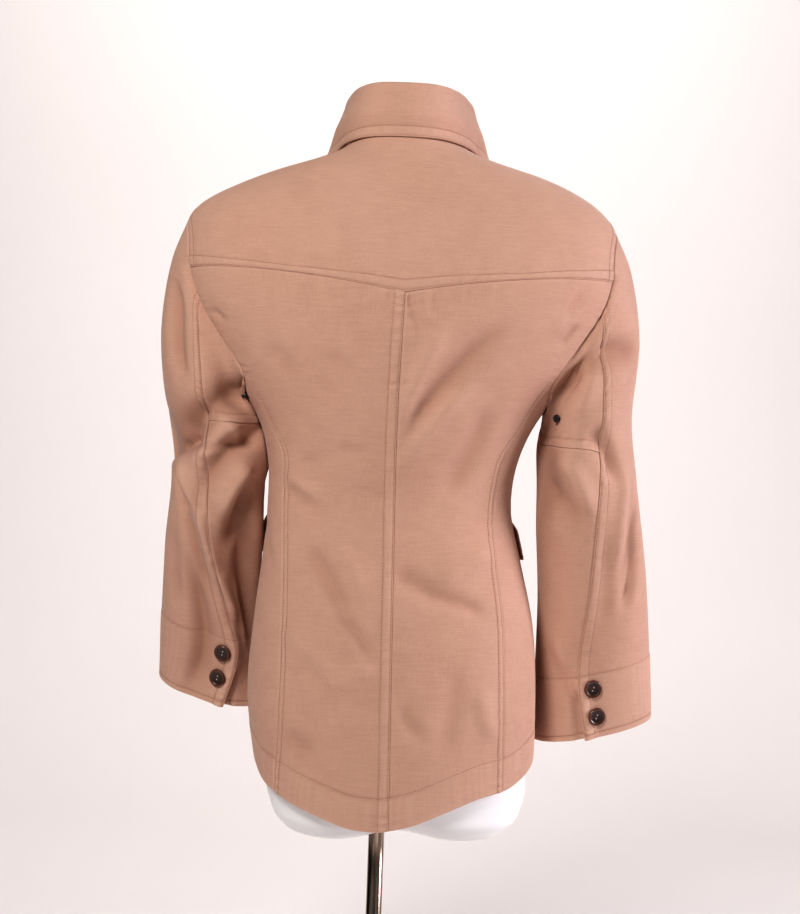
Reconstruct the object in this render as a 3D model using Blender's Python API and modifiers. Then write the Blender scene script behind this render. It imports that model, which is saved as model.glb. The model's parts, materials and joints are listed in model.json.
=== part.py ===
"""A light jacket standing on a limbless dress form, with its pole and base plate.

Metres, +Z up. The origin is the middle of the base plate's underside, on the pole's axis.
The jacket faces -Y, so its back faces +Y and the wearer's left is +X.
"""

import math

import bmesh
import bpy
import numpy as np
from mathutils import Vector


# Cloth and seams
CLOTH_THICKNESS = 0.0018
SEAM_GAP = 0.0003
LAID_ON_GAP = 0.0020

# Body of the jacket: level sections, each a rounded outline with its own half widths and depths
SECTION_ROUNDNESS = 2.3
BODY_COLUMNS = "height left right back front"
BODY_SECTIONS = (
    (0.300, 0.120, 0.154, 0.106, 0.106),
    (0.360, 0.127, 0.156, 0.108, 0.108),
    (0.420, 0.136, 0.157, 0.111, 0.106),
    (0.510, 0.132, 0.150, 0.104, 0.100),
    (0.570, 0.126, 0.136, 0.092, 0.092),
    (0.620, 0.123, 0.125, 0.085, 0.088),
    (0.660, 0.124, 0.128, 0.089, 0.099),
    (0.705, 0.136, 0.145, 0.098, 0.118),
    (0.736, 0.156, 0.166, 0.103, 0.124),
    (0.760, 0.174, 0.186, 0.107, 0.120),
    (0.789, 0.193, 0.204, 0.111, 0.112),
    (0.815, 0.207, 0.218, 0.113, 0.105),
    (0.853, 0.218, 0.228, 0.112, 0.092),
    (0.885, 0.217, 0.225, 0.105, 0.080),
    (0.905, 0.213, 0.221, 0.098, 0.071),
    (0.920, 0.201, 0.211, 0.093, 0.064),
    (0.940, 0.165, 0.184, 0.085, 0.054),
    (0.955, 0.128, 0.150, 0.080, 0.047),
    (0.968, 0.087, 0.106, 0.075, 0.041),
    (0.975, 0.068, 0.084, 0.073, 0.039),
    (0.983, 0.056, 0.068, 0.070, 0.036),
    (1.000, 0.045, 0.056, 0.067, 0.033),
)

# The armhole, a closed seam on the body: whole steps are shared by the body panels and the sleeve
ARMHOLE_COLUMNS = "step body_angle height"
ARMHOLE = (
    (0, 95.0, 0.919),
    (2, 81.0, 0.900),
    (4, 73.0, 0.878),
    (6, 70.0, 0.852),
    (8, 68.0, 0.820),
    (10, 64.5, 0.789),
    (12, 62.0, 0.760),
    (13, 63.5, 0.747),
    (14.5, 76.0, 0.729),
    (16, 92.0, 0.722),
    (18, 110.0, 0.733),
    (20, 117.0, 0.765),
    (22, 116.0, 0.805),
    (24, 113.0, 0.845),
    (26, 107.0, 0.885),
    (28, 95.0, 0.919),
)
SHOULDER_STEP = 0
YOKE_STEP = 6
BACK_SEAM_STEP = 8
PRINCESS_STEP = 13
UNDERARM_STEP = 16
FRONT_SEAM_STEP = 22
STEPS_ROUND = 28

# Seams of the body
CENTRE_BACK_COLUMNS = "height across"
CENTRE_BACK = ((0.300, -0.012), (0.540, -0.008), (0.705, -0.006), (0.829, -0.009))
YOKE_POINT_HEIGHT = 0.829
YOKE_SWEEP = 1.7
PRINCESS_COLUMNS = "height left right"
PRINCESS = (
    (0.330, 0.102, 0.123),
    (0.500, 0.100, 0.118),
    (0.640, 0.105, 0.106),
    (0.670, 0.106, 0.112),
    (0.705, 0.124, 0.132),
)
SIDE_SEAM_ANGLE = 92.0
HEM_COLUMNS = "angle left right"
HEM = (
    (0, 0.3085, 0.3085),
    (10, 0.3105, 0.3155),
    (22, 0.3180, 0.3280),
    (36, 0.3265, 0.3400),
    (52, 0.3365, 0.3465),
    (65, 0.3455, 0.3560),
    (78, 0.3600, 0.3650),
    (92, 0.3690, 0.3690),
    (130, 0.3690, 0.3690),
    (200, 0.3690, 0.3690),
)
NECK_COLUMNS = "share angle height"
NECK = (
    (0.00, 0.0, 0.998),
    (0.22, 45.0, 0.994),
    (0.45, 95.0, 0.980),
    (0.60, 141.0, 0.967),
    (0.75, 161.0, 0.950),
    (0.88, 171.0, 0.928),
    (1.00, 180.0, 0.905),
)
NECK_POINT_SHARE = 0.45
FRONT_LAP = 0.016
LAP_RISE = 0.0030
LAP_RAMP = (0.020, 0.050)

# Collar: stand, rolled fold and fall, round the neck seam
COLLAR_COLUMNS = "share stand drop flare"
COLLAR = (
    (0.00, 0.041, 0.050, 0.013),
    (0.25, 0.046, 0.0515, 0.018),
    (0.45, 0.056, 0.055, 0.018),
    (0.55, 0.053, 0.051, 0.020),
    (0.65, 0.048, 0.046, 0.022),
    (0.80, 0.040, 0.046, 0.023),
    (0.90, 0.037, 0.054, 0.023),
    (1.00, 0.034, 0.060, 0.023),
)
COLLAR_END_SHARE = 0.97
COLLAR_FOLD_RADIUS = 0.0038
COLLAR_LEAN = 0.005
COLLAR_FOLD_START = 0.3
COLLAR_FALL_START = 0.6

# Sleeves: rings below the armhole, each from its outer and inner point, with the back seam's place
SLEEVE_COLUMNS = "along outer outer_height inner inner_height depth half_depth lean seam"
SLEEVE_RINGS = {
    "left": (
        (0.12, 0.230, 0.862, 0.143, 0.704, -0.002, 0.055, 0.00, 0.196),
        (0.26, 0.238, 0.795, 0.136, 0.682, -0.001, 0.058, 0.02, 0.190),
        (0.40, 0.233, 0.725, 0.130, 0.652, -0.004, 0.057, 0.07, 0.185),
        (0.53, 0.224, 0.655, 0.128, 0.612, -0.012, 0.052, 0.14, 0.183),
        (0.69, 0.231, 0.575, 0.136, 0.552, -0.038, 0.046, 0.26, 0.174),
        (0.85, 0.236, 0.493, 0.136, 0.472, -0.068, 0.042, 0.32, 0.155),
        (1.00, 0.238, 0.431, 0.122, 0.408, -0.088, 0.040, 0.34, 0.166),
    ),
    "right": (
        (0.12, -0.239, 0.866, -0.152, 0.706, -0.002, 0.055, 0.00, -0.208),
        (0.26, -0.250, 0.795, -0.147, 0.684, -0.001, 0.058, 0.02, -0.210),
        (0.40, -0.245, 0.718, -0.149, 0.652, -0.002, 0.057, 0.05, -0.211),
        (0.53, -0.253, 0.655, -0.151, 0.610, -0.008, 0.053, 0.10, -0.210),
        (0.69, -0.267, 0.565, -0.157, 0.535, -0.020, 0.048, 0.14, -0.206),
        (0.85, -0.276, 0.477, -0.158, 0.455, -0.032, 0.044, 0.15, -0.199),
        (1.00, -0.281, 0.411, -0.159, 0.384, -0.040, 0.042, 0.15, -0.209),
    ),
}
FRONT_SEAM_ANGLE = 280.0
SEAM_BLEND = 0.30
PATCH_END = 0.36
PATCH_SEAM_COLUMNS = "step left right"
PATCH_SEAM = (
    (8, 0.375, 0.425),
    (11, 0.275, 0.345),
    (14, 0.175, 0.245),
    (16, 0.160, 0.205),
    (19, 0.235, 0.270),
    (22, 0.360, 0.375),
)
VENT_START = 0.87
VENT_FULL = 0.92
VENT_OPENING = 0.32
STEP_WIDTH = 0.0125
SLEEVE_LENGTH = 0.50
INNER_SLEEVE_LENGTH = 0.15

# The largest folds of the sleeves: soft troughs between two places on the sleeve
FOLD_COLUMNS = "step_from along_from step_to along_to half_width height"
SLEEVE_FOLDS = {
    "left": (
        (12.5, 0.30, 7.0, 0.46, 0.016, -0.0065),
        (13.0, 0.42, 8.0, 0.60, 0.015, -0.0055),
        (3.0, 0.50, 7.0, 0.72, 0.014, 0.0050),
        (1.0, 0.34, 4.0, 0.44, 0.018, -0.0050),
    ),
    "right": (
        (12.0, 0.34, 8.5, 0.46, 0.016, -0.0045),
        (4.0, 0.44, 7.5, 0.56, 0.015, -0.0040),
    ),
}

# Hip pockets and flaps, laid on the fronts
POCKET_ANGLES = (104.0, 148.0)
POCKET_HEIGHTS = (0.480, 0.598)
POCKET_BULGE = 0.0026
FLAP_ANGLES = (104.0, 148.0)
FLAP_HEIGHTS = (0.566, 0.612)
FLAP_RISE = 0.0058

# Buttons and eyelets
BUTTON_RADIUS = 0.0093
BUTTON_THICKNESS = 0.0034
BUTTON_STAND_OFF = 0.0012
BUTTON_BEVEL = 0.0008
BUTTON_SIDES = 16
CUFF_BUTTON_ALONG = {"left": (0.861, 0.927), "right": (0.885, 0.950)}
CUFF_BUTTON_STEP = 7.0
FRONT_BUTTON_HEIGHTS = (0.860, 0.760, 0.660, 0.560, 0.460)
EYELET_RADIUS = 0.0024
EYELET_WIRE = 0.0009
EYELET_STAND_OFF = 0.0026
EYELET_STEP = {"left": 13.5, "right": 11.85}
EYELET_ALONG = {"left": 0.065, "right": 0.205}

# Dress form: level sections inside the cloth
FORM_COLUMNS = "height left right back front"
FORM_SECTIONS = (
    (0.2845, 0.062, 0.085, 0.050, 0.050),
    (0.2890, 0.082, 0.112, 0.068, 0.068),
    (0.300, 0.099, 0.134, 0.084, 0.084),
    (0.320, 0.110, 0.146, 0.094, 0.094),
    (0.365, 0.116, 0.148, 0.098, 0.097),
    (0.430, 0.123, 0.146, 0.100, 0.094),
    (0.510, 0.119, 0.136, 0.093, 0.088),
    (0.570, 0.113, 0.122, 0.081, 0.080),
    (0.620, 0.110, 0.112, 0.074, 0.076),
    (0.660, 0.111, 0.115, 0.077, 0.086),
    (0.705, 0.121, 0.129, 0.085, 0.103),
    (0.760, 0.140, 0.148, 0.095, 0.106),
    (0.815, 0.156, 0.162, 0.099, 0.091),
    (0.860, 0.164, 0.168, 0.096, 0.077),
    (0.895, 0.160, 0.163, 0.088, 0.063),
    (0.915, 0.142, 0.144, 0.081, 0.053),
    (0.935, 0.106, 0.108, 0.073, 0.044),
    (0.955, 0.074, 0.076, 0.064, 0.038),
    (0.975, 0.056, 0.058, 0.057, 0.034),
    (1.000, 0.047, 0.049, 0.052, 0.032),
    (1.012, 0.038, 0.040, 0.043, 0.026),
)
FORM_TOP = 1.0150
FORM_BOTTOM = 0.2828
FORM_SIDES = 28
FORM_ROWS = 28
FORM_ROW_EASE = 0.75
LOBE_CENTRE = -0.020
LOBE_NOTCH = 0.014
LOBE_NOTCH_WIDTH = 0.042
LOBE_REACH = 0.060

# Stand
POLE_RADIUS = 0.008
POLE_TOP = 0.345
SOCKET_CLEARANCE = 0.0003
SOCKET_TOP = 0.346
BASE_RADIUS = 0.140
BASE_THICKNESS = 0.008
BASE_BEVEL = 0.002
ROUND_SIDES = 32

SIDES = {"left": 1, "right": -1}
SMALL = 1e-4


def table(names, rows):
    """The rows of a table as one array for each named column."""
    return dict(zip(names.split(), np.array(rows, float).T))


BODY = table(BODY_COLUMNS, BODY_SECTIONS)
FORM = table(FORM_COLUMNS, FORM_SECTIONS)
ARMHOLE_SEAM = table(ARMHOLE_COLUMNS, ARMHOLE)
CENTRE_BACK_SEAM = table(CENTRE_BACK_COLUMNS, CENTRE_BACK)
PRINCESS_SEAM = table(PRINCESS_COLUMNS, PRINCESS)
HEM_EDGE = table(HEM_COLUMNS, HEM)
NECK_SEAM = table(NECK_COLUMNS, NECK)
COLLAR_CUT = table(COLLAR_COLUMNS, COLLAR)
PATCH_LINE = table(PATCH_SEAM_COLUMNS, PATCH_SEAM)


def smooth_step(start, end, value):
    share = np.clip((value - start) / (end - start), 0.0, 1.0)
    return share * share * (3.0 - 2.0 * share)


def hermite(share, width, low, high, low_slope, high_slope):
    """A cubic between two values with given slopes."""
    two, three = share**2, share**3
    return (
        (2 * three - 3 * two + 1) * low
        + (three - 2 * two + share) * width * low_slope
        + (3 * two - 2 * three) * high
        + (three - two) * width * high_slope
    )


def span(knots, at):
    """The stretch of the knots that holds each value, and the share of it passed."""
    at = np.clip(at, knots[0], knots[-1])
    index = np.clip(np.searchsorted(knots, at, side="right") - 1, 0, len(knots) - 2)
    width = knots[index + 1] - knots[index]
    return index, (at - knots[index]) / width, width


def through(knots, values, at):
    """A smooth curve through a column of values."""
    slopes = np.gradient(values, knots)
    index, share, width = span(knots, np.asarray(at, float))
    return hermite(share, width, values[index], values[index + 1], slopes[index], slopes[index + 1])


def unit(vectors):
    return vectors / np.linalg.norm(vectors, axis=-1, keepdims=True)


def section_point(sections, angle, height):
    """A point of a lofted body: angle 0 is the centre back, 90 degrees the wearer's left."""
    sine, cosine = np.sin(angle), np.cos(angle)
    power = 2.0 / SECTION_ROUNDNESS
    half_width = np.where(
        sine > 0,
        through(sections["height"], sections["left"], height),
        through(sections["height"], sections["right"], height),
    )
    depth = np.where(
        cosine > 0,
        through(sections["height"], sections["back"], height),
        through(sections["height"], sections["front"], height),
    )
    x = half_width * np.sign(sine) * np.abs(sine) ** power
    y = depth * np.sign(cosine) * np.abs(cosine) ** power
    return np.stack([x, y, height + 0.0 * x], axis=-1)


def body_point(angle, height, out=0.0):
    """A point of the jacket's body, moved out along the cloth's normal."""
    angle, height = np.broadcast_arrays(np.asarray(angle, float), np.asarray(height, float))
    place = section_point(BODY, angle, height)
    round_way = section_point(BODY, angle + SMALL, height) - section_point(BODY, angle - SMALL, height)
    up_way = section_point(BODY, angle, height + SMALL) - section_point(BODY, angle, height - SMALL)
    normal = unit(np.cross(up_way, round_way))
    return place + normal * np.asarray(out)[..., None]


def angle_across(across, height):
    """The angle of the back's point that lies this far across."""
    half_width = np.where(
        across > 0,
        through(BODY["height"], BODY["left"], height),
        through(BODY["height"], BODY["right"], height),
    )
    share = np.clip(np.abs(across) / half_width, 0.0, 1.0)
    return np.sign(across) * np.arcsin(share ** (SECTION_ROUNDNESS / 2.0))


def pair(angle, height):
    """Angle and height of points on the body, side by side."""
    angle, height = np.broadcast_arrays(np.asarray(angle, float), np.asarray(height, float))
    return np.stack([angle, height], axis=-1)


def armhole(side, step):
    step = np.mod(step, STEPS_ROUND)
    angle = np.radians(through(ARMHOLE_SEAM["step"], ARMHOLE_SEAM["body_angle"], step))
    return pair(SIDES[side] * angle, through(ARMHOLE_SEAM["step"], ARMHOLE_SEAM["height"], step))


def hem_height(angle):
    degrees = np.degrees(np.abs(angle))
    return np.where(
        np.asarray(angle) > 0,
        through(HEM_EDGE["angle"], HEM_EDGE["left"], degrees),
        through(HEM_EDGE["angle"], HEM_EDGE["right"], degrees),
    )


def centre_back(height):
    across = through(CENTRE_BACK_SEAM["height"], CENTRE_BACK_SEAM["across"], height)
    return pair(angle_across(across, height), height)


def princess(side, height):
    """The princess seam from the hem up to the armhole."""
    end = armhole(side, PRINCESS_STEP)
    across = SIDES[side] * through(PRINCESS_SEAM["height"], PRINCESS_SEAM[side], height)
    last = PRINCESS_SEAM["height"][-1]
    low = angle_across(across, np.minimum(height, last))
    high = low + (end[..., 0] - low) * smooth_step(last - 0.02, end[..., 1], height)
    return pair(high, height)


def princess_foot(side):
    """Where the princess seam meets the hem."""
    height = 0.345
    for _ in range(4):
        height = float(hem_height(princess(side, height)[..., 0]))
    return height


def neck(share):
    """The neck seam: share 0 is the centre back and 1 the centre front."""
    angle = np.radians(through(NECK_SEAM["share"], NECK_SEAM["angle"], np.abs(share)))
    return pair(np.sign(share) * angle, through(NECK_SEAM["share"], NECK_SEAM["height"], np.abs(share)))


def between(first, second, share):
    return first + (second - first) * np.asarray(share)[..., None]


def fill(bottom, top, start, end):
    """A patch that fills four edges, each a function of a share from 0 to 1."""

    def place(u, v):
        across = between(bottom(u), top(u), v)
        up = between(start(v), end(v), u)
        corners = between(
            between(bottom(0.0 * u), bottom(0.0 * u + 1.0), u),
            between(top(0.0 * u), top(0.0 * u + 1.0), u),
            v,
        )
        return across + up - corners

    return place


def split(rows_below, rows_above):
    return rows_below / (rows_below + rows_above)


def two_stretches(share_below, below, above):
    """One edge made of two stretches that meet at a share of its length."""

    def edge(v):
        lower = below(np.clip(v / share_below, 0.0, 1.0))
        upper = above(np.clip((v - share_below) / (1.0 - share_below), 0.0, 1.0))
        return np.where((v <= share_below)[..., None], lower, upper)

    return edge


ROWS_BELOW = 12
ROWS_BESIDE_BACK_ARMHOLE = PRINCESS_STEP - YOKE_STEP
ROWS_BESIDE_FRONT_ARMHOLE = STEPS_ROUND - UNDERARM_STEP
HALF_YOKE_COLUMNS = 8
SHOULDER_COLUMNS = 4
FRONT_NECK_COLUMNS = 5
LAP_COLUMNS = 2
SIDE_COLUMNS = UNDERARM_STEP - PRINCESS_STEP
ARMPIT_HEIGHT = 0.735


def yoke_seam(side):
    """The yoke's lower seam from its point at the centre back to the armhole."""
    end = armhole(side, YOKE_STEP)
    start_across = float(through(CENTRE_BACK_SEAM["height"], CENTRE_BACK_SEAM["across"], YOKE_POINT_HEIGHT))
    end_across = float(body_point(end[..., 0], end[..., 1])[..., 0])

    def edge(share):
        rise = 1.0 - (1.0 - share) ** YOKE_SWEEP
        height = YOKE_POINT_HEIGHT + (end[..., 1] - YOKE_POINT_HEIGHT) * rise
        across = start_across + (end_across - start_across) * share
        return pair(angle_across(across, height), height)

    return edge


def back_centre_patch(side):
    foot = princess_foot(side)
    low = float(hem_height(0.0))
    foot_angle = float(princess(side, foot)[..., 0])
    low_angle = float(centre_back(low)[..., 0])
    share_below = split(ROWS_BELOW, ROWS_BESIDE_BACK_ARMHOLE)

    def bottom(u):
        angle = low_angle + (foot_angle - low_angle) * u
        return pair(angle, hem_height(angle))

    def seam_height(v):
        return np.interp(v, (0.0, share_below, 1.0), (low, ARMPIT_HEIGHT, YOKE_POINT_HEIGHT))

    top_height = float(armhole(side, PRINCESS_STEP)[..., 1])
    end = two_stretches(
        share_below,
        lambda t: princess(side, foot + (top_height - foot) * t),
        lambda t: armhole(side, PRINCESS_STEP + (YOKE_STEP - PRINCESS_STEP) * t),
    )
    return fill(bottom, yoke_seam(side), lambda v: centre_back(seam_height(v)), end)


def back_side_patch(side):
    foot = princess_foot(side)
    foot_angle = float(princess(side, foot)[..., 0])
    side_angle = SIDES[side] * math.radians(SIDE_SEAM_ANGLE)
    top_height = float(armhole(side, PRINCESS_STEP)[..., 1])
    underarm_height = float(armhole(side, UNDERARM_STEP)[..., 1])
    side_foot = float(hem_height(side_angle))

    def bottom(u):
        angle = foot_angle + (side_angle - foot_angle) * u
        return pair(angle, hem_height(angle))

    return fill(
        bottom,
        lambda u: armhole(side, PRINCESS_STEP + SIDE_COLUMNS * u),
        lambda v: princess(side, foot + (top_height - foot) * v),
        lambda v: pair(side_angle, side_foot + (underarm_height - side_foot) * v),
    )


def lap_angle(height):
    """How far past the centre front the lap reaches, as an angle."""
    half_width = through(BODY["height"], BODY["left"], height)
    return np.arcsin((FRONT_LAP / half_width) ** (SECTION_ROUNDNESS / 2.0))


def front_patch(side):
    way = SIDES[side]
    side_angle = way * math.radians(SIDE_SEAM_ANGLE)
    side_foot = float(hem_height(side_angle))
    underarm_height = float(armhole(side, UNDERARM_STEP)[..., 1])
    neck_point = neck(way * NECK_POINT_SHARE)
    tip = armhole(side, SHOULDER_STEP)
    share_below = split(ROWS_BELOW, ROWS_BESIDE_FRONT_ARMHOLE)
    columns = SHOULDER_COLUMNS + FRONT_NECK_COLUMNS + LAP_COLUMNS
    neck_start = SHOULDER_COLUMNS / columns
    neck_end = (SHOULDER_COLUMNS + FRONT_NECK_COLUMNS) / columns
    front_neck = float(NECK_SEAM["height"][-1])
    front_foot = float(HEM_EDGE[side][-1])
    lap_top = way * (math.pi + lap_angle(front_neck))
    lap_foot = way * (math.pi + lap_angle(front_foot))

    def bottom(u):
        angle = side_angle + (lap_foot - side_angle) * u
        return pair(angle, hem_height(angle))

    def top(u):
        shoulder = between(tip, neck_point, np.clip(u / neck_start, 0.0, 1.0))
        share = np.interp(u, (neck_start, neck_end), (NECK_POINT_SHARE, COLLAR_END_SHARE))
        lap = np.clip((u - neck_end) / (1.0 - neck_end), 0.0, 1.0)
        last = neck(way * COLLAR_END_SHARE)
        beyond = between(last, pair(lap_top, front_neck), lap)
        round_neck = np.where((u < neck_end)[..., None], neck(way * share), beyond)
        return np.where((u <= neck_start)[..., None], shoulder, round_neck)

    start = two_stretches(
        share_below,
        lambda t: pair(side_angle, side_foot + (underarm_height - side_foot) * t),
        lambda t: armhole(side, UNDERARM_STEP + ROWS_BESIDE_FRONT_ARMHOLE * np.minimum(t, 1.0 - 1e-9)),
    )

    def end(v):
        height = np.interp(v, (0.0, share_below, 1.0), (front_foot, ARMPIT_HEIGHT, front_neck))
        return pair(way * (math.pi + lap_angle(height)), height)

    return fill(bottom, top, start, end)


def yoke_patch():
    columns = 2 * HALF_YOKE_COLUMNS
    right_seam, left_seam = yoke_seam("right"), yoke_seam("left")

    def bottom(u):
        from_middle = np.abs(2.0 * u - 1.0)
        return np.where((u < 0.5)[..., None], right_seam(from_middle), left_seam(from_middle))

    def top(u):
        ends = (0.0, SHOULDER_COLUMNS / columns, 1.0 - SHOULDER_COLUMNS / columns, 1.0)
        share = np.interp(u, ends[1:3], (-NECK_POINT_SHARE, NECK_POINT_SHARE))
        edge = neck(share)
        for side, outer, inner in (("right", ends[0], ends[1]), ("left", ends[3], ends[2])):
            along = np.clip((u - outer) / (inner - outer), 0.0, 1.0)
            shoulder = between(armhole(side, SHOULDER_STEP), neck(SIDES[side] * NECK_POINT_SHARE), along)
            edge = np.where((np.abs(u - outer) < abs(inner - outer))[..., None], shoulder, edge)
        return edge

    return fill(
        bottom,
        top,
        lambda v: armhole("right", YOKE_STEP * (1.0 - v)),
        lambda v: armhole("left", YOKE_STEP * (1.0 - v)),
    )


def sleeve_rows(side, step):
    """The points of every ring at one step round the sleeve, the armhole first."""
    rings = table(SLEEVE_COLUMNS, SLEEVE_RINGS[side])
    rows = [body_point(*np.moveaxis(armhole(side, step), -1, 0), out=SEAM_GAP)]
    knots = [0.0, *rings["along"]]
    for ring in range(len(rings["along"])):
        row = {name: column[ring] for name, column in rings.items()}
        outer = np.array([row["outer"], row["depth"], row["outer_height"]])
        inner = np.array([row["inner"], row["depth"], row["inner_height"]])
        middle, reach = (outer + inner) / 2.0, (outer - inner) / 2.0
        back = row["half_depth"] * np.array([0.0, math.cos(row["lean"]), -math.sin(row["lean"])])
        seam_angle = math.degrees(math.acos((row["seam"] - middle[0]) / reach[0]))
        angle = np.radians(
            np.interp(
                np.mod(step - FRONT_SEAM_STEP, STEPS_ROUND) + FRONT_SEAM_STEP - STEPS_ROUND,
                (FRONT_SEAM_STEP - STEPS_ROUND, BACK_SEAM_STEP, FRONT_SEAM_STEP),
                (FRONT_SEAM_ANGLE - 360.0, seam_angle, FRONT_SEAM_ANGLE),
            )
        )
        rows.append(middle + reach * np.cos(angle)[..., None] + back * np.sin(angle)[..., None])
    return np.array(knots), np.array(rows)


def plain_sleeve(side, step, along):
    """A smooth line down the sleeve through its rings."""
    step, along = np.broadcast_arrays(np.asarray(step, float), np.asarray(along, float))
    flat_step, flat_along = step.ravel(), along.ravel()
    knots, rows = sleeve_rows(side, flat_step)
    slopes = np.gradient(rows, knots, axis=0)
    index, share, width = span(knots, flat_along)
    which = np.arange(len(flat_step))
    points = hermite(
        share[:, None],
        width[:, None],
        rows[index, which],
        rows[index + 1, which],
        slopes[index, which],
        slopes[index + 1, which],
    )
    return points.reshape(step.shape + (3,))


def sleeve_folds(side, step, along):
    """How far the cloth stands out or in at its folds."""
    total = 0.0 * step
    for values in SLEEVE_FOLDS[side]:
        fold = dict(zip(FOLD_COLUMNS.split(), values))
        start = np.array([fold["step_from"] * STEP_WIDTH, fold["along_from"] * SLEEVE_LENGTH])
        way = np.array([fold["step_to"] * STEP_WIDTH, fold["along_to"] * SLEEVE_LENGTH]) - start
        place = np.stack([step * STEP_WIDTH, along * SLEEVE_LENGTH], axis=-1) - start
        share = np.clip(place @ way / (way @ way), 0.0, 1.0)
        distance = np.linalg.norm(place - share[..., None] * way, axis=-1)
        total = total + fold["height"] * np.exp(-((distance / fold["half_width"]) ** 2))
    return total


def sleeve_point(side, step, along, out=0.0):
    """A point of a sleeve, moved out along the cloth's normal."""
    step, along = np.broadcast_arrays(np.asarray(step, float), np.asarray(along, float))
    half_step, nudge = 0.3, 1e-3
    round_way = plain_sleeve(side, step + half_step, along) - plain_sleeve(side, step - half_step, along)
    low, high = np.maximum(along - nudge, 0.0), np.minimum(along + nudge, 1.0)
    down_way = plain_sleeve(side, step, high) - plain_sleeve(side, step, low)
    normal = -SIDES[side] * unit(np.cross(round_way, down_way))
    seam = np.moveaxis(armhole(side, step), -1, 0)
    body_normal = unit(body_point(*seam, out=0.001) - body_point(*seam))
    agree = smooth_step(0.0, 0.3, np.sum(normal * body_normal, axis=-1))
    share = agree * (1.0 - smooth_step(0.0, SEAM_BLEND, along))
    normal = unit(between(normal, body_normal, share))
    rise = sleeve_folds(side, np.mod(step, STEPS_ROUND), along) * smooth_step(0.0, 0.15, along)
    return plain_sleeve(side, step, along) + normal * (rise + np.asarray(out))[..., None]


def collar_point(share, profile, out=0.0):
    """A point of the collar: profile runs up the stand, over the fold and down the fall."""
    share, profile = np.broadcast_arrays(np.asarray(share, float), np.asarray(profile, float))

    def foot(at):
        angle, height = np.moveaxis(neck(at), -1, 0)
        return body_point(angle, height, np.where(at < 0, lap_rise(angle, height), 0.0))

    round_way = foot(share + 0.01) - foot(share - 0.01)
    round_way[..., 2] = 0.0
    outward = unit(np.cross(unit(round_way), np.array([0.0, 0.0, 1.0])))
    outward = outward * np.sign(np.sum(outward * (foot(share) * [1, 1, 0]), axis=-1, keepdims=True))
    size = {
        name: through(COLLAR_CUT["share"], COLLAR_CUT[name], np.abs(share)) for name in COLLAR_CUT
    }
    wall_top = size["stand"] - COLLAR_FOLD_RADIUS
    in_stand = np.clip(profile / COLLAR_FOLD_START, 0.0, 1.0)
    turn = np.pi * np.clip(
        (profile - COLLAR_FOLD_START) / (COLLAR_FALL_START - COLLAR_FOLD_START), 0.0, 1.0
    )
    in_fall = np.clip((profile - COLLAR_FALL_START) / (1.0 - COLLAR_FALL_START), 0.0, 1.0)
    fold_middle = COLLAR_FOLD_RADIUS - COLLAR_LEAN
    spread = size["flare"] - fold_middle - COLLAR_FOLD_RADIUS
    radius = COLLAR_FOLD_RADIUS + np.asarray(out)
    reach = np.select(
        [profile < COLLAR_FOLD_START, profile <= COLLAR_FALL_START],
        [-COLLAR_LEAN * in_stand - out, fold_middle - radius * np.cos(turn)],
        fold_middle + radius + spread * in_fall**1.3,
    )
    rise = np.select(
        [profile < COLLAR_FOLD_START, profile <= COLLAR_FALL_START],
        [wall_top * in_stand, wall_top + radius * np.sin(turn)],
        wall_top - size["drop"] * in_fall,
    )
    up = np.array([0.0, 0.0, 1.0])
    return foot(share) + outward * reach[..., None] + up * (rise + 2 * SEAM_GAP)[..., None]


def material(name, colour, roughness, metallic=0.0):
    made = bpy.data.materials.new(name)
    made.use_nodes = True
    shader = made.node_tree.nodes["Principled BSDF"]
    shader.inputs["Base Color"].default_value = (*colour, 1.0)
    shader.inputs["Roughness"].default_value = roughness
    shader.inputs["Metallic"].default_value = metallic
    return made


def add_object(name, shape, finish, collection, smooth_angle=40.0):
    """A mesh object from a bmesh, shaded smooth up to an angle."""
    bmesh.ops.recalc_face_normals(shape, faces=shape.faces[:])
    if shape.calc_volume(signed=True) < 0:
        bmesh.ops.reverse_faces(shape, faces=shape.faces[:])
    mesh = bpy.data.meshes.new(name)
    shape.to_mesh(mesh)
    shape.free()
    mesh.shade_smooth()
    mesh.set_sharp_from_angle(angle=math.radians(smooth_angle))
    mesh.materials.append(finish)
    made = bpy.data.objects.new(name, mesh)
    collection.objects.link(made)
    return made


def cloth_piece(name, place, columns, rows, finish, collection):
    """A flat slab of cloth, cut as a square of columns and rows, then bent to its place."""
    shape = bmesh.new()
    bmesh.ops.create_grid(shape, x_segments=columns, y_segments=rows, size=0.5)
    extruded = bmesh.ops.extrude_face_region(shape, geom=shape.faces[:], use_keep_orig=True)
    lining = [item for item in extruded["geom"] if isinstance(item, bmesh.types.BMVert)]
    bmesh.ops.translate(shape, verts=lining, vec=(0.0, 0.0, 1.0))
    flat = np.array([vert.co for vert in shape.verts])
    points = place(flat[:, 0] + 0.5, flat[:, 1] + 0.5, -CLOTH_THICKNESS * np.round(flat[:, 2]))
    for vert, point in zip(shape.verts, points):
        vert.co = point
    return add_object(name, shape, finish, collection)


def trimmed(patch, width, height):
    """A patch drawn in by half a seam gap at each edge."""
    inset_u, inset_v = SEAM_GAP / 2.0 / width, SEAM_GAP / 2.0 / height

    def place(u, v):
        return patch(inset_u + (1.0 - 2.0 * inset_u) * u, inset_v + (1.0 - 2.0 * inset_v) * v)

    return place


def on_body(patch, out=None):
    """Places a body panel from its patch of angles and heights."""

    def place(u, v, depth):
        angle, height = np.moveaxis(patch(u, v), -1, 0)
        rise = out(angle, height) if out else 0.0
        return body_point(angle, height, depth + rise)

    return place


def lap_rise(angle, height):
    """The right front rises over the left where they lap."""
    across = -section_point(BODY, angle, height)[..., 0]
    is_front = np.cos(angle) < 0
    return np.where(is_front, LAP_RISE * (1.0 - smooth_step(*LAP_RAMP, across)), 0.0)


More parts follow.
